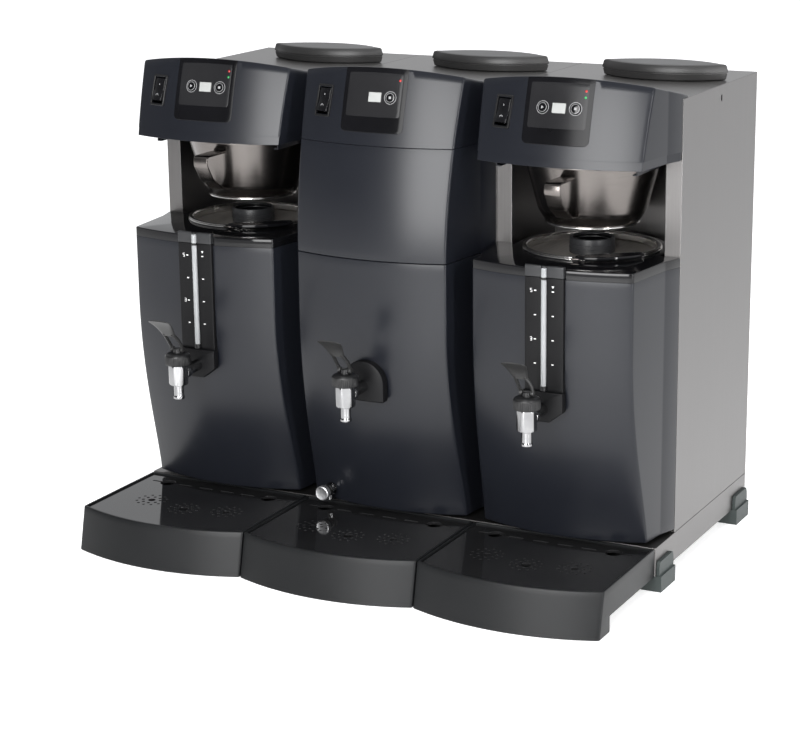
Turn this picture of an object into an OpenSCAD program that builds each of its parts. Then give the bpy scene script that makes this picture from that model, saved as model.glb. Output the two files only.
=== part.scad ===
// Counter-top bulk coffee brewer, 3 stations wide: a brewer with its own container on the left
// and on the right, and a hot-water column between them. Millimetres, Z up, front towards -Y.

/* [Stations] */
// Width of one station
station_w = 288; // [286:1:290]
// Depth of the steel cabinet behind its front pillars
cabinet_d = 319.5; // [316:0.5:323]
// Height of the cabinet top above the counter
cabinet_top = 706.6; // [705:0.1:707]
// Width of the steel pillar on each side of a bay
pillar_w = 24; // [23:0.5:25]
// Depth of the open bay that takes the back of a container
bay_d = 160; // [156:1:162]
// Thickness of the folded sheet
sheet = 2; // [1.5:0.1:2.5]

/* [Base] */
// Bottom of the base frame above the counter
base_low = 24.5; // [23:0.5:25]
// Top of the base frame above the counter
base_top = 67.6; // [67:0.1:68]
// How far the base frame stands in front of the pillars
base_front = 77.5; // [76:0.5:78]
// How far a foot stands out past the side of the base frame
foot_out = 8; // [7:0.5:9]
// Depth of a foot
foot_d = 58; // [54:1:62]
// Height of the top of a foot's side tab
foot_tab = 46; // [42:1:50]

/* [Front covers] */
// Distance from the pillars back to the axis of the curved fronts
arc_y = 240; // [236:1:244]
// Half width of a cover at its front corners
corner_w = 123; // [122:0.5:124]
// Half width of a cover at the crease in its side
crease_w = 134.5; // [134:0.5:135]
// How far the crease is in front of the pillars
crease_y = 35; // [33:1:37]
// How far the front corner is in front of the pillars at the foot of a cover
corner_low = 78; // [77:0.5:79]
// How far the front corner is in front of the pillars at the belly
corner_high = 128; // [126:0.5:129]
// Height where a cover starts
cover_low = 72.6; // [72:0.1:73]
// Height where the belly is reached
belly_z = 375; // [370:5:380]
// Height of the seam under the black deck
seam_z = 467; // [465:1:468]
// How far the hood's front corner leans back from the belly at the top
hood_lean = 51; // [49:1:53]
// Height of the hood's lower edge
hood_low = 632; // [631:0.5:633]
// Height of the hood's front top edge at the middle
hood_high = 742; // [741:0.5:743]
// Thickness of the moulded covers
skin = 3; // [2.8:0.1:3.2]

/* [Container] */
// Thickness of the black deck
deck_t = 13.5; // [13:0.5:14]
// Radius of the rolled rim of the pot
pot_rim_r = 102; // [101:0.5:102.5]
// Distance of the pot's axis behind the pillars
pot_y = 20; // [19:0.5:21]
// Height of the pot's floor
pot_low = 268; // [266:1:270]
// Radius of the round back of a container
back_r = 114; // [113:0.5:114.5]
// Radius of the funnel ring in the lid
funnel_r = 33; // [32:0.5:34]

/* [Filter basket] */
// Height of the underside of a basket
basket_low = 518; // [517:0.5:519]
// Radius of the underside
basket_r = 67; // [66:0.5:68]
// Radius of the body just under its flange
basket_top_r = 98; // [97:0.5:98.5]
// How far the handle stands in front of the pillars
handle_out = 129; // [125:1:131]
// Width of the handle's strap
strap_w = 24; // [22:1:26]

/* [Taps] */
// How far a tap's axis is in front of the pillars
tap_y = 210; // [207:1:213]
// Height of the end of the spout
spout_low = 241; // [240:0.5:242]
// Radius of the chrome body
tap_r = 14.5; // [14:0.5:15]
// Radius of the black bonnet
bonnet_r = 19.5; // [19:0.5:20]
// Radius of the spout
spout_r = 7.5; // [7.2:0.1:7.8]

/* [Drip trays] */
// How far a tray's front corner is in front of the pillars at the rim
tray_corner = 270; // [267:1:273]
// Radius of a tray's curved front at the rim
tray_r = 356; // [350:2:362]
// How much farther forward the skirt is at the counter
skirt_flare = 14; // [12:1:15]
// Height of the tray's rim
tray_rim = 67.4; // [67:0.1:67.6]

/* [Top lids] */
// Half length of a boiler lid
lid_half = 104; // [102:1:105]
// Half depth of a boiler lid
lid_deep = 45; // [43:1:46]
// Height of a boiler lid's top
lid_top = 730; // [728:1:732]
// How far a boiler lid is to the right of its station's middle
lid_x = 37; // [35:1:38]

/* [Hidden] */
half = station_w / 2;
full_half = 1.5 * station_w;
fit = 0.5;
facets = 96;
inlet_out = 17;
front_reach = tray_corner + skirt_flare + tray_r - sqrt(tray_r * tray_r - half * half);
y_shift = (front_reach - cabinet_d - inlet_out) / 2;
deck_top = seam_z + deck_t;
ease_in = 1.3;
ease_out = 2.2;
lean_power = 1.75;
lean_top = 732;
low_steps = 14;
high_steps = 7;
bay_half = half - pillar_w - 0.5;
top_slope = 12;
crown_r = 1300;
part_x = [-station_w, 0, station_w];
hood_hole_z = 690;
key_z = 700;
face_half = 50.5;
face_low = 650;

// how far the front corner is in front of the pillars at height z
function ease(t) = 1 - pow(1 - pow(t, ease_in), ease_out);
function low_corner(z) = corner_low
    + (corner_high - corner_low) * ease(max(0, min(1, (z - cover_low) / (belly_z - cover_low))));
function lean(z) = hood_lean * pow(max(0, (z - seam_z) / (lean_top - seam_z)), lean_power);
function corner(z) = z < belly_z ? low_corner(z) : corner_high - lean(z);
// radius of the curved front about its own axis at height z
function front_r(z) = sqrt(pow(arc_y + corner(z), 2) + corner_w * corner_w);
// lean of the front surface at height z and turn at distance x from the middle
function tilt_at(z) = atan((front_r(z - 5) - front_r(z + 5)) / 10);
function turn_at(x, z) = asin(x / front_r(z));

// ---- shared shapes ----

// curved front between two heights, a full turn about its own axis
module drum(z0, z1, steps, inset) {
    step = (z1 - z0) / steps;
    translate([0, arc_y, 0])
        rotate_extrude($fn = facets)
            polygon(concat(
                [[0, z1], [0, z0]],
                [for (i = [0:steps]) [front_r(z0 + step * i) - inset, z0 + step * i]]
            ));
}

// plan of a cover's sides, from far in front back to y_back
module side_prism(z0, z1, inset, y_back) {
    slope = (crease_w - corner_w) / (corner_high - crease_y);
    far = 200;
    far_w = corner_w - slope * (far - corner_high);
    rear_w = half - 0.5;
    knee = min(-4, y_back - 1);
    translate([0, 0, z0])
        linear_extrude(height = z1 - z0)
            polygon([
                [-far_w + inset, -far], [far_w - inset, -far],
                [crease_w - inset, -crease_y], [rear_w - inset, knee], [rear_w - inset, y_back],
                [-rear_w + inset, y_back], [-rear_w + inset, knee], [-crease_w + inset, -crease_y]
            ]);
}

module cover_solid(z0, z1, steps, inset, y_back) {
    intersection() {
        drum(z0, z1, steps, inset);
        side_prism(z0, z1, inset, y_back);
    }
}

// children are drawn on the curved front: -Y out of the surface, +Z up along it
module on_front(x, z) {
    translate([0, arc_y, 0])
        rotate([0, 0, turn_at(x, z)])
            translate([0, -front_r(z), z])
                rotate([-tilt_at(z), 0, 0])
                    children();
}

module along_y(r, y0, y1, z, x = 0) {
    translate([x, y0, z])
        rotate([-90, 0, 0])
            cylinder(r = r, h = y1 - y0, $fn = 48);
}

module place(x) {
    translate([x, y_shift, 0])
        children();
}

// ---- base ----

module base_frame() {
    color([0.62, 0.62, 0.60])
        place(0)
            difference() {
                translate([-full_half, -base_front, base_low])
                    cube([2 * full_half, base_front + cabinet_d, base_top - base_low]);
                translate([-full_half + sheet, -base_front + sheet, base_low - 1])
                    cube([2 * full_half - 2 * sheet, base_front + cabinet_d - 2 * sheet,
                        base_top - base_low + 1 - sheet]);
                along_y(10.2, cabinet_d - 5, cabinet_d + 5, 46, station_w);
                along_y(9.2, cabinet_d - 5, cabinet_d + 5, 46, -station_w);
            }
}

// one foot: a shoe under the corner with a round-topped tab up the side of the base
module foot(side, y0) {
    tab_r = 15;
    tab_t = 5;
    x_in = full_half - 24;
    scale_x = side;
    mirror([scale_x < 0 ? 1 : 0, 0, 0]) {
        translate([x_in, y0, 0])
            cube([24 + foot_out, foot_d, base_low]);
        intersection() {
            translate([full_half, y0, base_low])
                cube([tab_t, foot_d, foot_tab - base_low]);
            translate([full_half - 1, y0 + foot_d / 2, foot_tab - tab_r])
                rotate([0, 90, 0])
                    cylinder(r = foot_d / 2, h = tab_t + 2, $fn = 48);
        }
    }
}

module feet() {
    color([0.22, 0.25, 0.24])
        place(0)
            for (side = [-1, 1]) {
                foot(side, -base_front + 4);
                foot(side, cabinet_d - 4 - foot_d);
            }
}

// ---- cabinets ----

module box_walls() {
    // side panels with front pillars turned in
    for (side = [-1, 1])
        mirror([side < 0 ? 1 : 0, 0, 0]) {
            translate([half - sheet - 0.25, 0, base_top])
                cube([sheet, cabinet_d - sheet, cabinet_top - base_top]);
            translate([bay_half, 0, base_top])
                cube([half - 0.25 - bay_half, sheet, cabinet_top - base_top]);
        }
    // top
    difference() {
        translate([-half + 0.25, 0, cabinet_top - sheet])
            cube([2 * half - 0.5, cabinet_d - sheet, sheet]);
        translate([lid_x, 205, cabinet_top - 5])
            cylinder(r = 36, h = 10, $fn = 48);
    }
}

module bay_walls() {
    ceiling = hood_low - 14;
    for (side = [-1, 1])
        mirror([side < 0 ? 1 : 0, 0, 0])
            translate([bay_half, 0, base_top])
                cube([sheet, bay_d, ceiling - base_top]);
    translate([-bay_half - sheet, bay_d, base_top])
        cube([2 * bay_half + 2 * sheet, sheet, ceiling - base_top]);
    difference() {
        translate([-bay_half - sheet, 0, ceiling])
            cube([2 * bay_half + 2 * sheet, bay_d + sheet, sheet]);
        translate([0, pot_y, ceiling - 1])
            cylinder(r = 46, h = sheet + 2, $fn = 48);
    }
}

module brewer_cabinet(x) {
    color([0.66, 0.66, 0.64])
        place(x) {
            box_walls();
            bay_walls();
        }
}

module left_cabinet() {
    brewer_cabinet(-station_w);
}

module right_cabinet() {
    // a small slot near the top of the outer side panel
    color([0.66, 0.66, 0.64])
        difference() {
            brewer_cabinet(station_w);
            place(full_half)
                translate([-5, 157, 683])
                    cube([10, 5, 9]);
        }
}

module centre_cabinet() {
    color([0.66, 0.66, 0.64])
        place(0) {
            box_walls();
            difference() {
                translate([-bay_half, 0, base_top])
                    cube([2 * bay_half, sheet, cabinet_top - base_top]);
                along_y(12, -1, sheet + 1, 92, -91);
                along_y(12, -1, sheet + 1, 280, 0);
                along_y(8, -1, sheet + 1, 455, 0);
            }
        }
}

module rear_panels() {
    slot_h = 60;
    color([0.60, 0.60, 0.59])
        for (x = part_x)
            place(x)
                difference() {
                    translate([-half + 0.25, cabinet_d - sheet, base_top])
                        cube([2 * half - 0.5, sheet, cabinet_top - base_top]);
                    for (i = [-4:4])
                        translate([i * 18 - 3, cabinet_d - 5, 560])
                            cube([6, 10, slot_h]);
                    for (i = [-4:4])
                        translate([i * 18 - 3, cabinet_d - 5, 120])
                            cube([6, 10, slot_h]);
                }
}

// ---- front covers of the cabinets ----

// large cylinder whose top is the hood's crown
module crown(inset) {
    translate([0, -97, hood_high - crown_r / cos(top_slope)])
        rotate([-top_slope - 90, 0, 0])
            translate([0, 0, -600])
                cylinder(r = crown_r - inset, h = 900, $fn = 180);
}

module hood_outer(z0, inset) {
    intersection() {
        union() {
            cover_solid(z0, 748, high_steps, inset, -2);
            // lip that lies on the cabinet top
            translate([-half + 1 + inset, -3, cabinet_top + 0.4 + inset])
                cube([2 * half - 2 - 2 * inset, 21 - inset, 40]);
        }
        // crowned top that falls towards the back
        crown(inset);
    }
}

module hood_openings(keys) {
    // rocker
    on_front(-86, hood_hole_z)
        translate([-12.5, -6, -20])
            cube([25, 22, 40]);
    // display window and keys
    on_front(2.5, key_z)
        translate([-10.5, -6, -7.5])
            cube([21, 22, 15]);
    for (x = keys)
        on_front(x, key_z)
            along_y(8, -8, 16, 0);
}

module hood(keys) {
    difference() {
        hood_outer(hood_low, 0);
        difference() {
            hood_outer(hood_low - 5, skin);
            translate([-half, -1, 0])
                cube([station_w, 60, 900]);
        }
        // wall is cut away at the back below the lip
        translate([-half, -1.8, 600])
            cube([station_w, 10, cabinet_top + 0.4 - 600]);
        hood_openings(keys);
    }
}

left_keys = [-22, 27];

module left_hood() {
    color([0.33, 0.36, 0.41])
        place(-station_w)
            hood(left_keys);
}

module right_hood() {
    color([0.33, 0.36, 0.41])
        place(station_w)
            hood(left_keys);
}

module centre_hood() {
    color([0.33, 0.36, 0.41])
        place(0)
            hood([27]);
}

// strip and plate that close a brewer's hood from below, with the basket rails
module hood_base() {
    z0 = hood_low - 12.5;
    z1 = hood_low;
    rail_x = basket_top_r + 8;
    difference() {
        cover_solid(z0, z1, 1, 1, -2);
        cover_solid(z0 + sheet, z1 + 2, 1, 1 + sheet, -5);
        translate([0, pot_y, z0 - 1])
            cylinder(r = 46, h = 30, $fn = 48);
    }
    for (side = [-1, 1])
        mirror([side < 0 ? 1 : 0, 0, 0]) {
            translate([rail_x, -80, z0 - 12])
                cube([sheet, 60, 13]);
            translate([rail_x, -80, z0 - 12])
                cube([sheet, 190, 9]);
            translate([rail_x - 5.5, -80, z0 - 12])
                cube([6, 190, sheet]);
        }
}

module hood_bases() {
    color([0.30, 0.33, 0.37]) {
        place(-station_w)
            hood_base();
        place(station_w)
            hood_base();
    }
}

// gloss panel with the display window and key holes
module fascia(keys) {
    face_r = 8;
    difference() {
        intersection() {
            cover_solid(face_low, 748, 5, -1.2, -2);
            translate([0, -60, 0])
                rotate([90, 0, 0])
                    linear_extrude(height = 100)
                        union() {
                            translate([-face_half, face_low + face_r])
                                square([2 * face_half, 90]);
                            translate([-face_half + face_r, face_low])
                                square([2 * face_half - 2 * face_r, face_r + 1]);
                            for (s = [-1, 1])
                                translate([s * (face_half - face_r), face_low + face_r])
                                    circle(r = face_r, $fn = 32);
                        }
            crown(-0.4);
        }
        cover_solid(face_low - 5, 760, 6, -0.1, 0);
        for (x = keys)
            on_front(x, key_z)
                along_y(8, -8, 16, 0);
    }
}

// frame round a rocker
module rocker_frame() {
    on_front(-86, hood_hole_z)
        difference() {
            translate([-14.5, -2.2, -23.5])
                cube([29, 2.1, 47]);
            translate([-11.5, -6, -19.5])
                cube([23, 20, 39]);
        }
}

module fascias() {
    color([0.04, 0.04, 0.05])
        for (i = [0:2])
            place(part_x[i]) {
                fascia(i == 1 ? [27] : left_keys);
                rocker_frame();
            }
}

// board behind the front with the display on it
module control_board() {
    on_front(2.5, key_z) {
        translate([-10, 0.4, -7])
            cube([20, 9, 14]);
        translate([-46, 9.4, -34])
            cube([92, 1.6, 58]);
    }
}

module control_boards() {
    color([0.10, 0.30, 0.18])
        for (x = part_x)
            place(x)
                control_board();
}

module column_upper_cover() {
    color([0.33, 0.36, 0.41])
        place(0)
            difference() {
                cover_solid(seam_z + 1, hood_low - 0.6, 6, 0, -2);
                cover_solid(seam_z, hood_low + 1, 6, skin, -3.5);
                translate([-half, -12, 400])
                    cube([2, 12, 300]);
            }
}

module column_lower_cover() {
    color([0.30, 0.33, 0.38])
        place(0)
            difference() {
                cover_solid(cover_low, seam_z, low_steps, 0, -2);
                cover_solid(cover_low + skin, seam_z + 2, low_steps, skin, -3.5);
                along_y(9.3, -200, -100, 280, 0);
                along_y(7.3, -200, 10, 92, -91);
                along_y(7, -20, 10, 455, 0);
            }
}

// ---- tap ----

module tap_axis_body(shank_back) {
    difference() {
        union() {
            translate([0, -tap_y, spout_low + 21])
                cylinder(r = tap_r, h = 32, $fn = 48);
            translate([0, -tap_y, spout_low + 53])
                cylinder(r = bonnet_r, h = 18, $fn = 48);
            translate([0, -tap_y, spout_low + 71])
                cylinder(r = 6, h = 7, $fn = 36);
            translate([0, -tap_y, spout_low])
                cylinder(r = spout_r, h = 22, $fn = 36);
            translate([0, -tap_y, spout_low])
                cylinder(r = spout_r + 1, h = 3, $fn = 36);
            along_y(9, -tap_y, -shank_back, 280);
            along_y(12, -tap_y + 10, -tap_y + 22, 280);
        }
        translate([0, -tap_y, spout_low - 1])
            cylinder(r = 5, h = 36, $fn = 36);
        // groove for the lever's pin
        translate([-8, -tap_y, spout_low + 76.5])
            rotate([0, 90, 0])
                cylinder(r = 2.6, h = 16, $fn = 32);
        translate([-8, -tap_y - 2.6, spout_low + 76.5])
            cube([16, 5.2, 3]);
    }
}

module left_tap_body() {
    color([0.75, 0.75, 0.76])
        place(-station_w)
            tap_axis_body(76);
}

module right_tap_body() {
    color([0.75, 0.75, 0.76])
        place(station_w)
            tap_axis_body(76);
}

module centre_tap_body() {
    color([0.75, 0.75, 0.76])
        place(0)
            tap_axis_body(60);
}

// lever with forked arms on a cross pin, leaning forward
module tap_lever() {
    lever_lean = 39;
    translate([0, -tap_y, spout_low + 76.5])
        rotate([lever_lean, 0, 0]) {
            rotate([0, 90, 0])
                translate([0, 0, -11])
                    cylinder(r = 2.5, h = 22, $fn = 32);
            for (side = [-1, 1])
                translate([side * 9 - 2, -3, -3])
                    cube([4, 6, 32]);
            translate([-11, -3, 26])
                cube([22, 6, 6]);
            translate([0, 3, 0])
                rotate([90, 0, 0])
                    linear_extrude(height = 6)
                        polygon([[-12, 30], [12, 30], [21, 66], [21, 70], [-21, 70], [-21, 66]]);
        }
}

module left_tap_lever() {
    color([0.08, 0.08, 0.08])
        place(-station_w)
            tap_lever();
}

module centre_tap_lever() {
    color([0.08, 0.08, 0.08])
        place(0)
            tap_lever();
}

module right_tap_lever() {
    color([0.08, 0.08, 0.08])
        place(station_w)
            tap_lever();
}

// block with a half-round top behind the middle tap
module tap_block() {
    color([0.06, 0.06, 0.06])
        place(0)
            difference() {
                translate([0, -120, 0])
                    rotate([90, 0, 0])
                        linear_extrude(height = 38)
                            union() {
                                translate([0, 284])
                                    circle(r = 34, $fn = 64);
                                translate([-34, 257])
                                    square([68, 27]);
                            }
                translate([0, -120, 0])
                    rotate([90, 0, 0])
                        linear_extrude(height = 60)
                            translate([-40, 220])
                                square([80, 37]);
                cover_solid(230, 340, 5, -0.1, 0);
                along_y(9.3, -200, -100, 280);
            }
}

// ---- drain valve of the hot-water column ----

module drain_valve() {
    color([0.70, 0.70, 0.70])
        place(0)
            translate([-91, 0, 92]) {
                along_y(7, -104, 2, 0);
                along_y(9.5, -108, -104, 0);
                along_y(9.5, -100, -96, 0);
                translate([0, -101, -16])
                    difference() {
                        cylinder(r = 5, h = 16, $fn = 32);
                        translate([0, 0, -1])
                            cylinder(r = 3, h = 14, $fn = 32);
                    }
            }
}

module drain_knob() {
    color([0.78, 0.78, 0.78])
        place(0)
            translate([-91, 0, 92]) {
                along_y(11.5, -128, -118, 0);
                along_y(4, -118.2, -108.3, 0);
            }
}

// ---- boilers and water lines ----

module boiler() {
    wall = 2;
    difference() {
        union() {
            translate([lid_x - 84, 168, 440])
                cube([168, 144, 240]);
            translate([lid_x, 205, 679])
                cylinder(r = 34, h = 25, $fn = 48);
        }
        translate([lid_x - 84 + wall, 168 + wall, 440 + wall])
            cube([168 - 2 * wall, 144 - 2 * wall, 240 - 2 * wall]);
        translate([lid_x, 205, 670])
            cylinder(r = 32, h = 40, $fn = 48);
    }
}

module boilers() {
    color([0.72, 0.72, 0.72])
        for (x = part_x)
            place(x)
                boiler();
}

// valve, pipe and spray head over a basket
module brew_line() {
    z_pipe = 652;
    translate([0, pot_y, 0])
        difference() {
            union() {
                translate([0, 0, 622])
                    cylinder(r = 40, h = 10, $fn = 48);
                translate([0, 0, 631])
                    cylinder(r = 8, h = z_pipe - 631 + 6, $fn = 32);
            }
            for (i = [0:5])
                rotate([0, 0, 60 * i])
                    translate([24, 0, 620])
                        cylinder(r = 2, h = 14, $fn = 16);
        }
    along_y(6, pot_y, 167.5, z_pipe);
    translate([-14, 110, z_pipe - 14])
        cube([28, 34, 40]);
}

// hot-water line down to the middle tap and the drain
module column_line() {
    along_y(6, -55, 167.5, 455);
    translate([0, -48, 280])
        cylinder(r = 6, h = 175, $fn = 32);
    along_y(8, -59, -40, 280);
}

module water_lines() {
    color([0.72, 0.72, 0.70]) {
        place(-station_w)
            brew_line();
        place(station_w)
            brew_line();
        place(0)
            column_line();
    }
}

// ---- rear connections ----

module water_inlet() {
    color([0.75, 0.68, 0.45])
        place(station_w)
            difference() {
                union() {
                    along_y(10, cabinet_d - 14, cabinet_d + inlet_out, 46);
                    along_y(14, cabinet_d, cabinet_d + 4, 46);
                    along_y(14, cabinet_d - 6, cabinet_d - 2, 46);
                }
                along_y(7, cabinet_d - 15, cabinet_d + inlet_out + 1, 46);
            }
}

module cable_gland() {
    color([0.05, 0.05, 0.05])
        place(-station_w)
            difference() {
                union() {
                    along_y(9, cabinet_d - 12, cabinet_d + 14, 46);
                    along_y(13, cabinet_d, cabinet_d + 8, 46);
                    along_y(13, cabinet_d - 6, cabinet_d - 2, 46);
                }
                along_y(5, cabinet_d - 13, cabinet_d + 15, 46);
            }
}

// ---- moving: boiler lids ----

module boiler_lid() {
    z0 = cabinet_top + 0.4;
    zw = z0 + 11.5;
    arc = (lid_half * lid_half + lid_deep * lid_deep) / (2 * lid_deep) + 5;
    end = lid_half;
    intersection() {
        translate([lid_x, 205 + (arc - lid_deep - 5), 0])
            rotate_extrude($fn = facets)
                polygon([[0, z0], [arc - 9, z0], [arc - 5, zw], [arc - 10, lid_top], [0, lid_top]]);
        translate([lid_x, 205 - (arc - lid_deep - 5), 0])
            rotate_extrude($fn = facets)
                polygon([[0, z0], [arc - 9, z0], [arc - 5, zw], [arc - 10, lid_top], [0, lid_top]]);
        translate([lid_x, 300, 0])
            rotate([90, 0, 0])
                linear_extrude(height = 200)
                    polygon([
                        [-end + 7, z0], [end - 7, z0], [end - 3, zw], [end - 8, lid_top],
                        [-end + 8, lid_top], [-end + 3, zw]
                    ]);
    }
    translate([lid_x, 205, z0 - 16])
        cylinder(r = 30, h = 17, $fn = 48);
}

module left_boiler_lid() {
    color([0.36, 0.36, 0.36])
        place(-station_w)
            boiler_lid();
}

module centre_boiler_lid() {
    color([0.36, 0.36, 0.36])
        place(0)
            boiler_lid();
}

module right_boiler_lid() {
    color([0.36, 0.36, 0.36])
        place(station_w)
            boiler_lid();
}

// ---- moving: rockers and keys ----

module rocker() {
    rocker_tilt = 7;
    on_front(-86, hood_hole_z)
        translate([0, 5, 0])
            rotate([rocker_tilt, 0, 0]) {
                difference() {
                    translate([-10.5, -8, -17.5])
                        cube([21, 12, 35]);
                    translate([-12, -40.5, 0])
                        rotate([0, 90, 0])
                            cylinder(r = 34, h = 24, $fn = 96);
                }
                // pivot
                translate([-11.3, 0, 0])
                    rotate([0, 90, 0])
                        cylinder(r = 2, h = 22.6, $fn = 32);
            }
}

module left_rocker() {
    color([0.05, 0.05, 0.06])
        place(-station_w)
            rocker();
}

module centre_rocker() {
    color([0.05, 0.05, 0.06])
        place(0)
            rocker();
}

module right_rocker() {
    color([0.05, 0.05, 0.06])
        place(station_w)
            rocker();
}

module key_cap(x) {
    on_front(x, key_z) {
        along_y(7.2, -3, 4.4, 0);
        along_y(3, 4.3, 5.4, 0);
    }
}

module left_start_key() {
    color([0.12, 0.12, 0.13])
        place(-station_w)
            key_cap(-22);
}

module left_stop_key() {
    color([0.12, 0.12, 0.13])
        place(-station_w)
            key_cap(27);
}

module right_start_key() {
    color([0.12, 0.12, 0.13])
        place(station_w)
            key_cap(-22);
}

module right_stop_key() {
    color([0.12, 0.12, 0.13])
        place(station_w)
            key_cap(27);
}

module centre_key() {
    color([0.12, 0.12, 0.13])
        place(0)
            key_cap(27);
}

// ---- moving: filter baskets ----

module filter_basket() {
    z_top = hood_low - 12.5 - 2.5;
    wall = 1.6;
    mid_z = basket_low + 20;
    mid_r = basket_r + 12;
    translate([0, pot_y, 0])
        rotate_extrude($fn = facets)
            polygon([
                [3, basket_low], [basket_r, basket_low], [basket_r + 1.5, basket_low + 4],
                [mid_r, mid_z], [basket_top_r, z_top - 7.2], [basket_top_r + 6, z_top - 7.2],
                [basket_top_r + 6, z_top - 5.2], [basket_top_r - wall, z_top - 5.2],
                [mid_r - wall, mid_z], [basket_r - wall, basket_low + 4],
                [basket_r - wall, basket_low + wall], [3, basket_low + wall]
            ]);
}

module left_filter_basket() {
    color([0.70, 0.69, 0.67])
        place(-station_w)
            filter_basket();
}

module right_filter_basket() {
    color([0.70, 0.69, 0.67])
        place(station_w)
            filter_basket();
}

// D-shaped strap handle on the front of a basket
module basket_handle() {
    strap_t = 2.5;
    top_z = 598;
    low_z = 536;
    translate([-strap_w / 2, 0, 0])
        rotate([90, 0, 90])
            linear_extrude(height = strap_w)
                difference() {
                    polygon([
                        [-60, low_z], [-84, low_z + 6], [-110, low_z + 22], [-handle_out + 4, low_z + 40],
                        [-handle_out, top_z - 10], [-handle_out + 5, top_z], [-60, top_z]
                    ]);
                    polygon([
                        [-60, low_z + strap_t], [-83, low_z + 6 + strap_t],
                        [-108, low_z + 22 + strap_t], [-handle_out + 4 + strap_t, low_z + 41],
                        [-handle_out + strap_t, top_z - 10], [-handle_out + 5 + strap_t, top_z - strap_t],
                        [-60, top_z - strap_t]
                    ]);
                }
}

module handle_cut() {
    // keeps the handle outside the basket's wall
    mid_z = basket_low + 20;
    mid_r = basket_r + 12;
    z_top = hood_low - 15;
    translate([0, pot_y, 0])
        rotate_extrude($fn = facets)
            polygon([
                [0, basket_low - 1], [basket_r + 0.05, basket_low - 1],
                [basket_r + 1.55, basket_low + 4], [mid_r + 0.05, mid_z],
                [basket_top_r + 0.05, z_top - 7.2], [0, z_top - 7.2]
            ]);
}

module left_basket_handle() {
    color([0.25, 0.20, 0.18])
        place(-station_w)
            difference() {
                basket_handle();
                handle_cut();
            }
}

module right_basket_handle() {
    color([0.25, 0.20, 0.18])
        place(station_w)
            difference() {
                basket_handle();
                handle_cut();
            }
}

// ---- moving: containers ----

module container_outline(z0, z1, steps, inset) {
    cover_solid(z0, z1, steps, inset, -2);
    translate([0, pot_y, z0])
        intersection() {
            cylinder(r = back_r - inset, h = z1 - z0, $fn = facets);
            translate([-back_r, -pot_y - 3, 0])
                cube([2 * back_r, 200, z1 - z0]);
        }
}

module container_shell() {
    difference() {
        container_outline(cover_low, seam_z, low_steps, 0);
        cover_solid(cover_low + skin, seam_z + 2, low_steps, skin, -2 - skin);
        translate([0, pot_y, cover_low + skin])
            cylinder(r = back_r - skin, h = seam_z, $fn = facets);
        along_y(9.3, -200, -100, 280);
    }
    // pads under the floor
    for (p = [[-100, -50], [100, -50], [-70, 80], [70, 80]])
        translate([p[0], p[1], base_top + 0.4])
            cylinder(r = 10, h = cover_low - base_top, $fn = 32);
}

module left_container() {
    color([0.30, 0.33, 0.38])
        place(-station_w)
            container_shell();
}

module right_container() {
    color([0.30, 0.33, 0.38])
        place(station_w)
            container_shell();
}

module container_deck() {
    difference() {
        container_outline(seam_z, deck_top, 1, 0);
        translate([0, pot_y, seam_z - 1])
            cylinder(r = pot_rim_r - 3.5, h = 30, $fn = facets);
    }
}

module left_deck() {
    color([0.05, 0.05, 0.06])
        place(-station_w)
            container_deck();
}

module right_deck() {
    color([0.05, 0.05, 0.06])
        place(station_w)
            container_deck();
}

module pot() {
    r = pot_rim_r - 4;
    wall = 1.5;
    difference() {
        translate([0, pot_y, 0])
            rotate_extrude($fn = facets)
                polygon([
                    [0, pot_low], [r, pot_low], [r, deck_top], [pot_rim_r, deck_top],
                    [pot_rim_r, deck_top + 2.5], [r - wall, deck_top + 2.5],
                    [r - wall, pot_low + wall], [0, pot_low + wall]
                ]);
        along_y(9.3, -100, -60, 280);
    }
}

module left_pot() {
    color([0.74, 0.74, 0.73])
        place(-station_w)
            pot();
}

module right_pot() {
    color([0.74, 0.74, 0.73])
        place(station_w)
            pot();
}

module gauge_plate() {
    plate_half = 29.5;
    block_half = 31;
    face_y = 153;
    cap_top = 486;
    difference() {
        union() {
            translate([-plate_half, -face_y, 305])
                cube([2 * plate_half, face_y - 100, cap_top - 305]);
            // block round the tap's shank, cut to a blunt point below
            translate([0, -100, 0])
                rotate([90, 0, 0])
                    linear_extrude(height = face_y - 95)
                        polygon([
                            [-block_half, 306], [-block_half, 277], [-10, 261],
                            [10, 261], [block_half, 277], [block_half, 306]
                        ]);
        }
        // back follows the container's own curve
        drum(cover_low, seam_z, low_steps, -0.4);
        drum(seam_z - 0.01, deck_top, 1, -0.4);
        drum(deck_top - 0.01, 500, 1, -0.4);
        // hole for the tap and channel for the tube
        along_y(9.3, -200, -100, 280);
        translate([-5, -face_y - 2, 306])
            cube([10, 5.8, 200]);
        // step between the cap and the plate
        translate([-plate_half - 1, -face_y - 1, cap_top - 17.5])
            cube([2 * plate_half + 2, 2, 1]);
    }
}

module left_gauge_plate() {
    color([0.07, 0.07, 0.08])
        place(-station_w)
            gauge_plate();
}

module right_gauge_plate() {
    color([0.07, 0.07, 0.08])
        place(station_w)
            gauge_plate();
}

module gauge_tube() {
    tube_y = -153.5;
    difference() {
        translate([0, tube_y, 307])
            cylinder(r = 4, h = 176, $fn = 32);
        translate([0, tube_y, 309])
            cylinder(r = 2.6, h = 180, $fn = 32);
    }
}

module left_gauge_tube() {
    color([0.80, 0.82, 0.84])
        place(-station_w)
            gauge_tube();
}

module right_gauge_tube() {
    color([0.80, 0.82, 0.84])
        place(station_w)
            gauge_tube();
}

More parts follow.
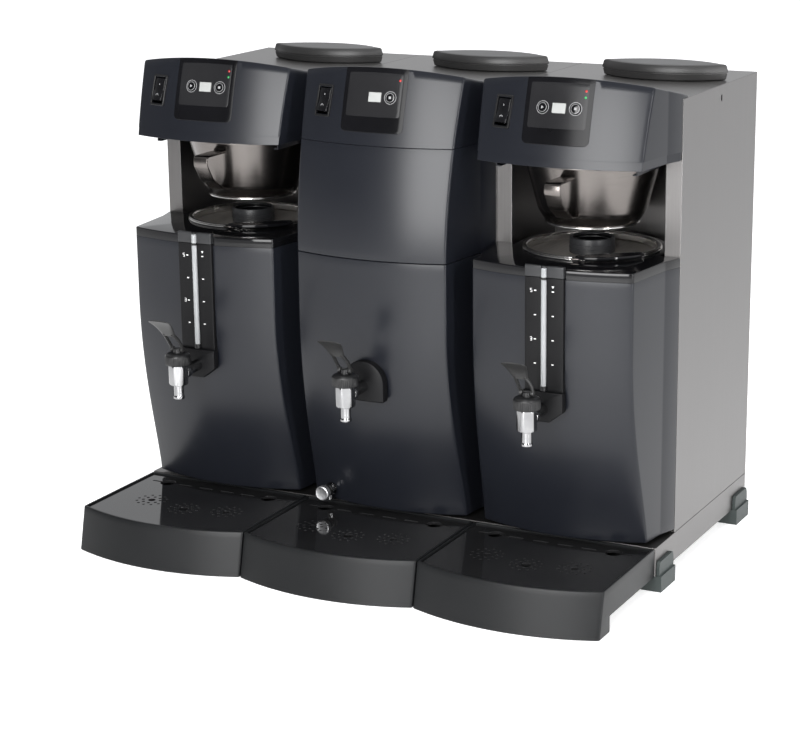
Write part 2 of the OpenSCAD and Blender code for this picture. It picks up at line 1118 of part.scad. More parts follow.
// lid of the pot: a dish with a funnel ring and a grip
module pot_lid() {
    r = pot_rim_r - 5.9;
    z_floor = deck_top - 9;
    z_rim = deck_top + 2.9;
    translate([0, pot_y, 0])
        rotate_extrude($fn = facets)
            polygon([
                [10, z_floor], [r, z_floor], [r, z_rim], [pot_rim_r - 1, z_rim],
                [pot_rim_r - 1, z_rim + 1.6], [r - 2, z_rim + 1.6], [r - 2, z_floor + 2],
                [funnel_r, z_floor + 2], [funnel_r, z_floor + 25], [funnel_r - 4, z_floor + 25],
                [funnel_r - 4, z_floor + 4], [10, z_floor + 2]
            ]);
    // steel tab and black grip lying round the front right of the rim
    translate([0, pot_y, z_rim]) {
        rotate([0, 0, -80])
            translate([pot_rim_r - 3, -6, 0.2])
                cube([12, 12, 1.5]);
        difference() {
            intersection() {
                cylinder(r = pot_rim_r + 15, h = 8, $fn = facets);
                linear_extrude(height = 9)
                    polygon([[0, 0], [20, -125], [125, -125], [125, -52]]);
            }
            translate([0, 0, -1])
                cylinder(r = pot_rim_r - 1.2, h = 12, $fn = facets);
        }
    }
}

module left_pot_lid() {
    color([0.45, 0.45, 0.45])
        place(-station_w)
            pot_lid();
}

module right_pot_lid() {
    color([0.45, 0.45, 0.45])
        place(station_w)
            pot_lid();
}

// ---- moving: drip trays and grids ----

tray_back = base_front + 1.5;
tray_axis = tray_r - front_reach + skirt_flare;

module tray_plan(z0, z1, r0, r1, side, back) {
    intersection() {
        translate([0, tray_axis, 0])
            rotate_extrude($fn = facets)
                polygon([[0, z0], [r0, z0], [r1, z1], [0, z1]]);
        translate([-side, -400, z0])
            cube([2 * side, 400 - back, z1 - z0]);
    }
}

module drip_tray() {
    side = half - 0.75;
    low_r = tray_r + skirt_flare;
    under = 25;
    skirt_t = 34;
    difference() {
        tray_plan(1, tray_rim, low_r, tray_r, side, tray_back);
        // hollow under the tray behind the skirt
        tray_plan(0, under, low_r - skirt_t, low_r - skirt_t, side + 2, tray_back - 5);
        // basin
        tray_plan(under + 3, tray_rim + 1, tray_r - 7, tray_r - 7, side - 7, tray_back + 7);
        // seat of the grid
        tray_plan(tray_rim - 7, tray_rim + 1, tray_r - 4, tray_r - 4, side - 4, tray_back + 4);
    }
}

module left_drip_tray() {
    color([0.16, 0.16, 0.17])
        place(-station_w)
            drip_tray();
}

module centre_drip_tray() {
    color([0.16, 0.16, 0.17])
        place(0)
            drip_tray();
}

module right_drip_tray() {
    color([0.16, 0.16, 0.17])
        place(station_w)
            drip_tray();
}

// ring of small holes round a bigger one
module hole_cluster(x, y) {
    translate([x, y, 50]) {
        cylinder(r = 4, h = 30, $fn = 24);
        for (i = [0:7])
            rotate([0, 0, 45 * i])
                translate([11, 0, 0])
                    cylinder(r = 2.4, h = 30, $fn = 16);
    }
}

module drip_grid() {
    side = half - 5.4;
    difference() {
        tray_plan(tray_rim - 6.7, tray_rim - 2.6, tray_r - 4.7, tray_r - 4.7, side, tray_back + 4.7);
        hole_cluster(-68, -196);
        hole_cluster(0, -211);
        hole_cluster(68, -196);
        for (x = [-60, -21, 18, 55])
            translate([x - 12, -117, 50])
                cube([24, 6, 30]);
        for (side_x = [-1, 1])
            translate([side_x * 93, -112, 50]) {
                cylinder(r = 12, h = 30, $fn = 36);
                translate([side_x * 8 - 6, -3, 0])
                    cube([18, 6, 30]);
            }
    }
}

module left_drip_grid() {
    color([0.10, 0.10, 0.11])
        place(-station_w)
            drip_grid();
}

module centre_drip_grid() {
    color([0.10, 0.10, 0.11])
        place(0)
            drip_grid();
}

module right_drip_grid() {
    color([0.10, 0.10, 0.11])
        place(station_w)
            drip_grid();
}

base_frame();
feet();
left_cabinet();
centre_cabinet();
right_cabinet();
rear_panels();
left_hood();
centre_hood();
right_hood();
hood_bases();
fascias();
control_boards();
column_upper_cover();
column_lower_cover();
centre_tap_body();
tap_block();
drain_valve();
boilers();
water_lines();
water_inlet();
cable_gland();
left_boiler_lid();
centre_boiler_lid();
right_boiler_lid();
left_rocker();
centre_rocker();
right_rocker();
left_start_key();
left_stop_key();
right_start_key();
right_stop_key();
centre_key();
left_filter_basket();
right_filter_basket();
left_basket_handle();
right_basket_handle();
left_container();
right_container();
left_deck();
right_deck();
left_pot();
right_pot();
left_gauge_plate();
right_gauge_plate();
left_gauge_tube();
right_gauge_tube();
left_tap_body();
right_tap_body();
left_pot_lid();
right_pot_lid();
left_tap_lever();
centre_tap_lever();
right_tap_lever();
left_drip_tray();
centre_drip_tray();
right_drip_tray();
left_drip_grid();
centre_drip_grid();
right_drip_grid();
drain_knob();
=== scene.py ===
"""Looks for the counter-top bulk coffee brewer: camera, light, finishes and detailed pieces.

Shapes are drawn in millimetres in the CAD's own design coordinates: x from the middle of a
station, y from the front plane of the cabinets, z from the counter.
"""

import math

import bmesh
import bpy
from mathutils import Matrix, Vector


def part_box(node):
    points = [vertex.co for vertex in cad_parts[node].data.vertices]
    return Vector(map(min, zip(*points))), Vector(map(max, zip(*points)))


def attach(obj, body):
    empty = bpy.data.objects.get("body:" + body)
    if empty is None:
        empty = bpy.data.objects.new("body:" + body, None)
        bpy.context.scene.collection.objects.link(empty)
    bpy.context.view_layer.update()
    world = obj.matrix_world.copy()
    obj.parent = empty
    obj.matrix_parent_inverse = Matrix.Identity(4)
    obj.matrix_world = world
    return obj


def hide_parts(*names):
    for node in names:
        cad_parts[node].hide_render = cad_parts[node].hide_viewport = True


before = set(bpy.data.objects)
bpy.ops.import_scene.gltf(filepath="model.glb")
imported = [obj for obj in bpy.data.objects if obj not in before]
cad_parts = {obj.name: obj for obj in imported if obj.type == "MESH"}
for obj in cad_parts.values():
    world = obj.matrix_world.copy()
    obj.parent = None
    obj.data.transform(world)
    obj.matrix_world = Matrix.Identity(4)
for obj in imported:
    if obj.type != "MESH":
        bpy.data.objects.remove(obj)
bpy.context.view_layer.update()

# ---- driving dimensions ----

MM = 0.001
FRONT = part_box("centre_cabinet")[0].y / MM
STATION_W = 288
STATIONS = {"left": -STATION_W, "centre": 0, "right": STATION_W}
BREWERS = {"left": -STATION_W, "right": STATION_W}

ARC_Y = 240
CORNER_W = 123
CREASE_W = 134.5
CREASE_Y = 35
CORNER_LOW = 78
CORNER_HIGH = 128
COVER_LOW = 72.6
BELLY_Z = 375
SEAM_Z = 467
SKIN = 3
DECK_T = 13.5
DECK_TOP = SEAM_Z + DECK_T
HOOD_LOW = 632
HOOD_HIGH = 742
HOOD_LEAN = 51
LEAN_TOP = 732
CABINET_TOP = 706.6
CROWN_R = 1300
CROWN_Y = -97
TOP_SLOPE = math.radians(12)
REAR_W = 143.5
BACK = -2
BACK_R = 114
POT_Y = 20
RIM_R = 102
ROCKER_X = -86
ROCKER_Z = 690
KEY_Z = 700
DISPLAY_X = 2.5
TAP_Y = -210
TAP_LOW = 241
TRAY_R = 356
TRAY_FLARE = 14
TRAY_RIM = 67.4
TRAY_AXIS = 55.57
TRAY_SIDE = 143.25
TRAY_BACK = -79
FACE_Y = -153


def ease(t):
    """Share of the way from a cover's foot to its belly."""
    return 1 - (1 - t**1.3) ** 2.2


def corner(z):
    """How far the front corner of a cover is in front of the cabinets at height z."""
    if z < BELLY_Z:
        t = max(0.0, (z - COVER_LOW) / (BELLY_Z - COVER_LOW))
        return CORNER_LOW + (CORNER_HIGH - CORNER_LOW) * ease(t)
    return CORNER_HIGH - HOOD_LEAN * max(0.0, (z - SEAM_Z) / (LEAN_TOP - SEAM_Z)) ** 1.75


def front_r(z):
    """Radius of the curved fronts at height z."""
    return math.hypot(ARC_Y + corner(z), CORNER_W)


def crown(x, y):
    """Height of the hood's crowned top, which falls towards the back."""
    across = (math.sqrt(CROWN_R**2 - x * x) - CROWN_R) / math.cos(TOP_SLOPE)
    return HOOD_HIGH + across - math.tan(TOP_SLOPE) * (y - CROWN_Y)


def on_front(x, z):
    """Function from (right, out, up) on the curved front at x and z to a point."""
    radius = front_r(z)
    turn = math.asin(x / radius)
    tilt = math.atan((front_r(z - 5) - front_r(z + 5)) / 10)
    origin = Vector((radius * math.sin(turn), ARC_Y - radius * math.cos(turn), z))
    right = Vector((math.cos(turn), math.sin(turn), 0))
    out = Vector((math.sin(turn) * math.cos(tilt), -math.cos(turn) * math.cos(tilt), math.sin(tilt)))
    up = right.cross(-out)

    def place(p):
        return tuple(origin + right * p[0] + out * p[1] + up * p[2])

    return place


# ---- mesh helpers: a shape is (points, faces) ----


def bend(a, b, c, steps=5):
    """Points of a smooth bend from a to c round the corner b."""
    points = []
    for i in range(steps + 1):
        t = i / steps
        u, v, w = (1 - t) ** 2, 2 * t * (1 - t), t * t
        points.append(tuple(u * p + v * q + w * r for p, q, r in zip(a, b, c)))
    return points


def rounded(points, closed=False, steps=5):
    """Outline through (a, b, radius) points with each radius drawn as an arc."""
    out = []
    count = len(points)
    for i, point in enumerate(points):
        here = Vector(point[:2])
        radius = point[2] if len(point) > 2 else 0
        if radius == 0 or (not closed and i in (0, count - 1)):
            out.append(tuple(here))
            continue
        to_last = (Vector(points[i - 1][:2]) - here).normalized()
        to_next = (Vector(points[(i + 1) % count][:2]) - here).normalized()
        half = to_last.angle(to_next) / 2
        reach = radius / math.tan(half)
        centre = here + (to_last + to_next).normalized() * (radius / math.sin(half))
        first = here + to_last * reach - centre
        last = here + to_next * reach - centre
        start = math.atan2(first.y, first.x)
        sweep = math.atan2(last.y, last.x) - start
        sweep = (sweep + math.pi) % (2 * math.pi) - math.pi
        for k in range(steps + 1):
            a = start + sweep * k / steps
            out.append((centre.x + radius * math.cos(a), centre.y + radius * math.sin(a)))
    return out


def loft(rings, low="cap", high="cap", loop=False):
    """Skin over rings of equal length.

    Each end is closed by one face when it is "cap", and else by the point that it names.
    """
    count = len(rings[0])
    points = [p for ring in rings for p in ring]
    faces = []
    levels = len(rings)
    for j in range(levels if loop else levels - 1):
        a, b = j * count, (j + 1) % levels * count
        for k in range(count):
            n = (k + 1) % count
            faces.append((a + k, a + n, b + n, b + k))
    for end, start in ((low, 0), (high, (levels - 1) * count)):
        if end != "cap":
            points.append(end)
            faces += [(start + k, start + (k + 1) % count, len(points) - 1) for k in range(count)]
        elif not loop:
            faces.append(tuple(range(start, start + count)))
    return points, faces


def lathe(profile, seg=72, closed=False):
    """Turns (radius, height) points about a vertical axis."""
    points, faces, rows = [], [], []
    for r, h in profile:
        rows.append((len(points), r < 1e-6))
        for k in range(1 if r < 1e-6 else seg):
            a = 2 * math.pi * k / seg
            points.append((r * math.cos(a), r * math.sin(a), h))
    pairs = list(zip(rows, rows[1:])) + ([(rows[-1], rows[0])] if closed else [])
    for (a, a_pole), (b, b_pole) in pairs:
        for k in range(seg):
            n = (k + 1) % seg
            if a_pole and not b_pole:
                faces.append((a, b + n, b + k))
            elif b_pole and not a_pole:
                faces.append((a + k, a + n, b))
            elif not a_pole:
                faces.append((a + k, a + n, b + n, b + k))
    return points, faces


def polar(seg, z, radius):
    """Ring at height z round the origin, whose point k at angle a is radius(k, a) from the middle."""
    ring = []
    for k in range(seg):
        a = 2 * math.pi * k / seg
        ring.append((radius(k, a) * math.cos(a), radius(k, a) * math.sin(a), z))
    return ring


def circle(x, y, r, seg):
    """Points of a circle in the plane."""
    return [(x + px, y + py) for px, py, _ in polar(seg, 0, lambda k, a: r)]


def moved(shape, place):
    """Shape whose points have gone through place."""
    return [place(p) for p in shape[0]], shape[1]


def at(x=0, y=0, z=0, tilt=0):
    """Function that tips a point about +X by tilt degrees and then shifts it."""
    c, s = math.cos(math.radians(tilt)), math.sin(math.radians(tilt))
    return lambda p: (p[0] + x, p[1] * c - p[2] * s + y, p[1] * s + p[2] * c + z)


def along_y(x, y, z):
    """Function that lays a lathe's axis along -Y, starting at a point."""
    return lambda p: (p[0] + x, y - p[2], p[1] + z)


def joined(*shapes):
    """One shape made of several."""
    points, faces = [], []
    for part_points, part_faces in shapes:
        start = len(points)
        points += part_points
        faces += [tuple(start + i for i in f) for f in part_faces]
    return points, faces


def slab(outline, low, high, edge=0.6, steps=3):
    """Plate with rounded rims over an outline, from low to high along the third axis."""
    rings = []
    for side, height in ((1, low), (-1, high)):
        for k in range(steps + 1):
            a = math.pi / 2 * (k if side > 0 else steps - k) / steps
            inset = edge * (1 - math.sin(a))
            level = height + side * edge * (1 - math.cos(a))
            rings.append(shrunk(outline, inset, level))
    return loft(rings)


def shrunk(outline, inset, level):
    """Outline moved inwards by inset, as points at a level."""
    count = len(outline)
    area = sum(
        outline[i][0] * outline[(i + 1) % count][1] - outline[(i + 1) % count][0] * outline[i][1]
        for i in range(count)
    )
    sign = 1 if area > 0 else -1
    ring = []
    for i in range(count):
        a, b, c = Vector(outline[i - 1]), Vector(outline[i]), Vector(outline[(i + 1) % count])
        u, v = (b - a).normalized(), (c - b).normalized()
        n1, n2 = Vector((-u.y, u.x)) * sign, Vector((-v.y, v.x)) * sign
        mitre = (n1 + n2).normalized()
        reach = inset / max(0.35, mitre.dot(n1))
        p = b + mitre * reach
        ring.append((p.x, p.y, level))
    return ring


def pierced(stacks):
    """Plate with walls along each stack of rings: the first stack is its rim, the others its holes."""
    bm = bmesh.new()
    lows, tops = [], []
    for stack in stacks:
        rings = []
        for ring in stack:
            verts = [bm.verts.new(p) for p in ring]
            edges = [bm.edges.new((verts[k], verts[(k + 1) % len(verts)])) for k in range(len(verts))]
            rings.append((verts, edges))
        for (a, _), (b, _) in zip(rings, rings[1:]):
            for k in range(len(a)):
                n = (k + 1) % len(a)
                bm.faces.new((a[k], a[n], b[n], b[k]))
        lows += rings[0][1]
        tops += rings[-1][1]
    for edges in (tops, lows):
        bmesh.ops.triangle_fill(bm, use_beauty=True, edges=edges)
    bm.verts.index_update()
    shape = [tuple(v.co) for v in bm.verts], [tuple(v.index for v in f.verts) for f in bm.faces]
    bm.free()
    return shape


def box_outline(half_a, half_b, radius, a=0, b=0, steps=4):
    """Rectangle with rounded corners round (a, b)."""
    corners = [(-half_a, -half_b), (half_a, -half_b), (half_a, half_b), (-half_a, half_b)]
    return rounded([(p + a, q + b, radius) for p, q in corners], closed=True, steps=steps)


def make(name, shape, look, body, station=0, replaces=(), slot=None, sharp=32):
    """Makes a piece that rides on a body. Its x counts from the middle of its station."""
    mesh = bpy.data.meshes.new(name)
    points = [((x + station) * MM, (y + FRONT) * MM, z * MM) for x, y, z in shape[0]]
    mesh.from_pydata(points, [], shape[1])
    bm = bmesh.new()
    bm.from_mesh(mesh)
    bmesh.ops.remove_doubles(bm, verts=bm.verts, dist=1e-6)
    bmesh.ops.recalc_face_normals(bm, faces=bm.faces)
    bm.to_mesh(mesh)
    bm.free()
    mesh.shade_smooth()
    mesh.set_sharp_from_angle(angle=math.radians(sharp))
    mesh.materials.append(look)
    obj = bpy.data.objects.new(name, mesh)
    bpy.context.scene.collection.objects.link(obj)
    if body is not None:
        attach(obj, body)
        if replaces:
            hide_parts(*replaces)
        slot or SLOTS[look]
    return obj


def cut(obj, shape, station=0, sharp=32):
    """Takes a shape away from a piece's mesh."""
    tool = make("cutter", shape, obj.data.materials[0], None, station)
    modifier = obj.modifiers.new("cut", "BOOLEAN")
    modifier.object = tool
    modifier.solver = "EXACT"
    view_layer = bpy.context.evaluated_depsgraph_get()
    result = bpy.data.meshes.new_from_object(obj.evaluated_get(view_layer))
    obj.modifiers.clear()
    obj.data = result
    result.shade_smooth()
    result.set_sharp_from_angle(angle=math.radians(sharp))
    bpy.data.objects.remove(tool)


def soften(node, width=0.5, angle=40, segments=2):
    """Rounds the hard edges of a CAD node with modifiers."""
    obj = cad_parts[node]
    weld = obj.modifiers.new("weld", "WELD")
    weld.merge_threshold = 1e-6
    bevel = obj.modifiers.new("edge", "BEVEL")
    bevel.width = width * MM
    bevel.segments = segments
    bevel.limit_method = "ANGLE"
    bevel.angle_limit = math.radians(angle)
    bevel.use_clamp_overlap = True
    normals = obj.modifiers.new("normals", "WEIGHTED_NORMAL")
    normals.keep_sharp = True


# ---- materials ----


def put(node, values):
    """Sets a node's sockets by name."""
    for key, value in values.items():
        node.inputs[key].default_value = value


def material(name, color, metallic=0.0, roughness=0.4, specular=0.5, transmission=0.0):
    """Starts a material; colours and numbers that are the same all over sit on the shader."""
    made = bpy.data.materials.new(name)
    made.use_nodes = True
    shader = made.node_tree.nodes["Principled BSDF"]
    put(shader, {"Base Color": (*color, 1), "Metallic": metallic, "Roughness": roughness})
    put(shader, {"Specular IOR Level": specular, "Transmission Weight": transmission})
    return made


def noise(made, scale, stretch=(1, 1, 1), detail=3.0):
    """Noise texture in the object's own space, stretched for brushed metal."""
    nodes, links = made.node_tree.nodes, made.node_tree.links
    space = nodes.new("ShaderNodeTexCoord")
    mapping = nodes.new("ShaderNodeMapping")
    put(mapping, {"Scale": stretch})
    texture = nodes.new("ShaderNodeTexNoise")
    put(texture, {"Scale": scale, "Detail": detail})
    links.new(space.outputs["Object"], mapping.inputs["Vector"])
    links.new(mapping.outputs["Vector"], texture.inputs["Vector"])
    return texture.outputs["Fac"]


def follow(made, factor, kind, values, inlet, outlet, socket):
    """Adds a node through which a socket of the shader follows a factor."""
    nodes, links = made.node_tree.nodes, made.node_tree.links
    node = nodes.new(kind)
    put(node, values)
    links.new(factor, node.inputs[inlet])
    links.new(node.outputs[outlet], nodes["Principled BSDF"].inputs[socket])
    return node


def vary_color(made, factor, dark, light):
    """Lets the colour follow a factor from dark to light."""
    ramp = follow(made, factor, "ShaderNodeValToRGB", {}, "Fac", "Color", "Base Color")
    for stop, position, tone in zip(ramp.color_ramp.elements, (0.3, 0.7), (dark, light)):
        stop.position = position
        stop.color = (*tone, 1)


def vary_roughness(made, factor, low, high):
    """Lets the roughness follow a factor from low to high."""
    values = {"From Min": 0.3, "From Max": 0.7, "To Min": low, "To Max": high}
    follow(made, factor, "ShaderNodeMapRange", values, "Value", "Result", "Roughness")


def add_bump(made, factor, strength, distance):
    """Adds a fine relief that follows a factor."""
    values = {"Strength": strength, "Distance": distance}
    follow(made, factor, "ShaderNodeBump", values, "Height", "Normal", "Normal")


def brushed(name, dark, light, rough_low, rough_high, stretch, depth=0.05):
    """Steel with fine brush lines along the axis that is stretched least."""
    made = material(name, light, metallic=1.0)
    lines = noise(made, 1.0, stretch, 4.0)
    vary_color(made, lines, dark, light)
    vary_roughness(made, lines, rough_low, rough_high)
    add_bump(made, lines, depth, 0.00003)
    return made


def moulded(name, dark, light, rough_low, rough_high, grain=900, strength=0.15, **sockets):
    """Plastic or paint with a fine grain and slow changes of tone and sheen."""
    made = material(name, light, **sockets)
    slow = noise(made, 9.0, detail=4.0)
    vary_color(made, slow, dark, light)
    vary_roughness(made, slow, rough_low, rough_high)
    add_bump(made, noise(made, grain, detail=2.0), strength, 0.0001)
    return made


STEEL = brushed("brushed_steel", (0.142, 0.138, 0.136), (0.158, 0.153, 0.151), 0.34, 0.40, (700, 700, 4))
POLISHED = brushed(
    "polished_steel", (0.145, 0.132, 0.125), (0.168, 0.155, 0.147), 0.22, 0.27, (40, 40, 700), 0.006
)
LID_FLOOR = brushed("lid_steel", (0.44, 0.41, 0.38), (0.58, 0.55, 0.51), 0.40, 0.52, (400, 20, 20))
KNOB = brushed("knob_steel", (0.52, 0.52, 0.53), (0.64, 0.64, 0.65), 0.34, 0.44, (300, 300, 300))
RIM = brushed("rim_steel", (0.66, 0.65, 0.64), (0.74, 0.73, 0.72), 0.18, 0.24, (60, 60, 400), 0.01)
CHROME = brushed("tap_chrome", (0.24, 0.24, 0.245), (0.32, 0.32, 0.325), 0.12, 0.18, (40, 40, 40))
COVER = moulded(
    "cover_grey", (0.0072, 0.0080, 0.0110), (0.0082, 0.0092, 0.0125), 0.275, 0.29, 1400, 0.03, specular=0.31
)
GLOSS = moulded(
    "gloss_black", (0.003, 0.003, 0.0035), (0.005, 0.005, 0.006), 0.06, 0.11, 300, 0.02, specular=0.3
)
ZONE = moulded(
    "zone_black", (0.011, 0.011, 0.012), (0.015, 0.015, 0.016), 0.20, 0.26, 500, 0.02, specular=0.14
)
PANEL = moulded(
    "panel_black", (0.003, 0.003, 0.0035), (0.005, 0.005, 0.006), 0.16, 0.22, 300, 0.02, specular=0.12
)
MATT_BLACK = moulded(
    "gauge_black", (0.003, 0.003, 0.0035), (0.005, 0.005, 0.0055), 0.4, 0.5, 1800, 0.1, specular=0.15
)
BLACK = moulded(
    "black_plastic", (0.005, 0.005, 0.0055), (0.008, 0.008, 0.0085), 0.30, 0.40, 1800, 0.2, specular=0.35
)
LEVER = moulded("lever_black", (0.012, 0.012, 0.012), (0.02, 0.02, 0.02), 0.32, 0.42, 1800, 0.2)
TRAY = moulded(
    "tray_grey", (0.006, 0.0065, 0.007), (0.008, 0.0085, 0.0092), 0.36, 0.44, 1500, 0.2, specular=0.22
)
GRID = moulded("grid_dark", (0.008, 0.008, 0.0085), (0.014, 0.014, 0.0145), 0.05, 0.09, 60, 0.01)
FOOT = moulded("foot_grey", (0.020, 0.028, 0.027), (0.034, 0.044, 0.042), 0.5, 0.62, 1200, 0.3)
LID = moulded("lid_grey", (0.020, 0.020, 0.020), (0.028, 0.027, 0.027), 0.38, 0.46, 1500, 0.3)
RING = moulded(
    "ring_grey", (0.014, 0.0145, 0.016), (0.020, 0.0205, 0.022), 0.34, 0.44, 900, 0.15, specular=0.35
)
BOARD = moulded("board_green", (0.01, 0.05, 0.02), (0.015, 0.07, 0.03), 0.4, 0.5)
BRASS = brushed("brass_part", (0.50, 0.36, 0.16), (0.62, 0.46, 0.22), 0.2, 0.32, (300, 40, 300))
WHITE = moulded("print_white", (0.62, 0.62, 0.62), (0.72, 0.72, 0.72), 0.45, 0.55)
PRINT = moulded("print_grey", (0.20, 0.20, 0.205), (0.28, 0.28, 0.285), 0.4, 0.5)
DISPLAY = moulded("display_pale", (0.27, 0.275, 0.27), (0.33, 0.335, 0.33), 0.4, 0.5, specular=0.15)
RED_LED = moulded("lamp_red", (0.30, 0.01, 0.01), (0.45, 0.02, 0.015), 0.2, 0.3)
GREEN_LED = moulded("lamp_green", (0.01, 0.20, 0.05), (0.02, 0.32, 0.08), 0.2, 0.3)
TUBE = moulded("clear_tube", (0.34, 0.35, 0.36), (0.42, 0.43, 0.44), 0.08, 0.14, transmission=0.35)

SLOT_LOOKS = {
    "cover_grey": [COVER],
    "lid_grey": [LID],
    "tray_grey": [TRAY],
    "grid_dark": [GRID],
    "clear_tube": [TUBE],
    "tap_chrome": [CHROME],
    "gloss_black": [GLOSS, PANEL, ZONE, PRINT, DISPLAY, RED_LED, GREEN_LED],
    "polished_steel": [POLISHED, RIM, LID_FLOOR, KNOB],
    "black_plastic": [RING, MATT_BLACK, BLACK, LEVER, WHITE],
}
SLOTS = {look: slot for slot, looks in SLOT_LOOKS.items() for look in looks}
NODE_LOOKS = {
    STEEL: ["left_cabinet", "centre_cabinet", "right_cabinet", "base_frame", "rear_panels"],
    POLISHED: ["boilers", "water_lines"],
    CHROME: ["drain_valve"],
    COVER: ["hood_bases"],
    FOOT: ["feet"],
    BOARD: ["control_boards"],
    BRASS: ["water_inlet"],
    BLACK: ["cable_gland"],
}
for look, nodes_of_look in NODE_LOOKS.items():
    for node in nodes_of_look:
        node_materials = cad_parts[node].data.materials
        node_materials.clear()
        node_materials.append(look)
for node in ("left_cabinet", "centre_cabinet", "right_cabinet"):
    soften(node, 0.7)
soften("base_frame", 1.5, segments=3)
soften("feet", 2.0, segments=3)
for node in ("hood_bases", "rear_panels", "water_inlet", "cable_gland", "drain_valve"):
    soften(node, 0.4)

# ---- curved covers ----

ARC_STEPS = 26


def outline(z, inset=0.0, back=BACK, round_back=False):
    """Plan of a cover at height z, as a closed ring that always has the same number of points."""
    radius = front_r(z) - inset
    slope = (CREASE_W - CORNER_W) / (CORNER_HIGH - CREASE_Y)
    side = CREASE_W - inset
    turn = math.asin((side + slope * (ARC_Y + CREASE_Y)) / (radius * math.hypot(1, slope))) - math.atan(slope)
    edge = 3.2
    tip = Vector((radius * math.sin(turn), ARC_Y - radius * math.cos(turn)))
    crease = Vector((side, -CREASE_Y))
    knee = Vector((REAR_W - inset, min(-4, back - 1)))
    back_in = (crease - tip).normalized()
    last = turn - edge / radius
    half = [
        (radius * math.sin(last * i / ARC_STEPS), ARC_Y - radius * math.cos(last * i / ARC_STEPS))
        for i in range(ARC_STEPS + 1)
    ]
    half += bend(half[-1], tip, tip + back_in * edge)[1:]
    half += bend(crease - back_in * 2.5, crease, crease + (knee - crease).normalized() * 2.5, 3)
    half += [tuple(knee), (REAR_W - inset, back)]
    if round_back:
        r = BACK_R - inset
        start = math.asin((BACK - POT_Y) / r)
        for i in range(17):
            a = start + (math.pi / 2 - start) * i / 16
            half.append((r * math.cos(a), POT_Y + r * math.sin(a)))
    else:
        half.append((0, back))
    return half + [(-x, y) for x, y in reversed(half[1:-1])]


def rim_levels(low, high, edge, step, low_edge=None):
    """Heights and insets of a wall whose rims are rounded off."""
    low_edge = edge if low_edge is None else low_edge
    levels = [(low + low_edge * (1 - math.cos(a)), low_edge * (1 - math.sin(a))) for a in quarter()]
    count = max(1, round((high - low) / step))
    a, b = low + low_edge, high - edge
    levels += [(a + (b - a) * i / count, 0.0) for i in range(1, count)]
    levels += [(high - edge * (1 - math.cos(a)), edge * (1 - math.sin(a))) for a in reversed(quarter())]
    return levels


def quarter():
    """Angles over a quarter turn, in four steps."""
    return [math.pi / 2 * i / 4 for i in range(5)]


def wall(low, high, edge, step, round_back=False, low_edge=None, floor=True):
    """Hollow moulded cover, open at the top."""
    levels = rim_levels(low, high, edge, step, low_edge)
    rings = [[(x, y, z) for x, y in outline(z, e, round_back=round_back)] for z, e in levels]
    inner_back = BACK - SKIN
    inner_low = low + SKIN if floor else low
    count = max(1, round((high - low) / (2 * step)))
    for i in range(count + 1):
        z = high - (high - inner_low) * i / count
        plan = outline(z, SKIN, inner_back, round_back)
        rings.append([(x, y, z) for x, y in plan])
    return loft(rings, loop=not floor)


CONTAINER_PADS = ((-100, -50), (100, -50), (-70, 80), (70, 80))


def container_shell():
    """Container cover with the four pads it slides on."""
    pad = lathe([(0, 68), (9, 68), (10, 69), (10, 73), (0, 73)], 32)
    pads = [moved(pad, at(*place)) for place in CONTAINER_PADS]
    return joined(wall(COVER_LOW, SEAM_Z, 0.5, 12, True, 2.5), *pads)


for side, x0 in BREWERS.items():
    make(side + "_container_shell", container_shell(), COVER, side + "_container", x0, [side + "_container"])
lower_cover = wall(COVER_LOW, SEAM_Z, 0.8, 12, low_edge=2.5)
make("column_lower_shell", lower_cover, COVER, "machine", 0, ["column_lower_cover"])
upper_cover = wall(SEAM_Z + 1, HOOD_LOW - 0.6, 0.8, 12, floor=False)
make("column_upper_shell", upper_cover, COVER, "machine", 0, ["column_upper_cover"])

# ---- decks ----


def deck():
    """Flat top of a container with the hole for its pot."""
    rims = rim_levels(SEAM_Z, DECK_TOP, 1.2, 20, 0.3)
    outer = [[(x, y, z) for x, y in outline(z, e, round_back=True)] for z, e in rims]
    hole = []
    for z, grow in ((SEAM_Z, 0), (DECK_TOP - 0.8, 0), (DECK_TOP, 0.8)):
        hole.append([(x, y, z) for x, y in circle(0, POT_Y, RIM_R - 3.5 + grow, 96)])
    return pierced([outer, hole])


for side, x0 in BREWERS.items():
    make(side + "_deck_top", deck(), GLOSS, side + "_container", x0, [side + "_deck"])

# ---- hoods ----


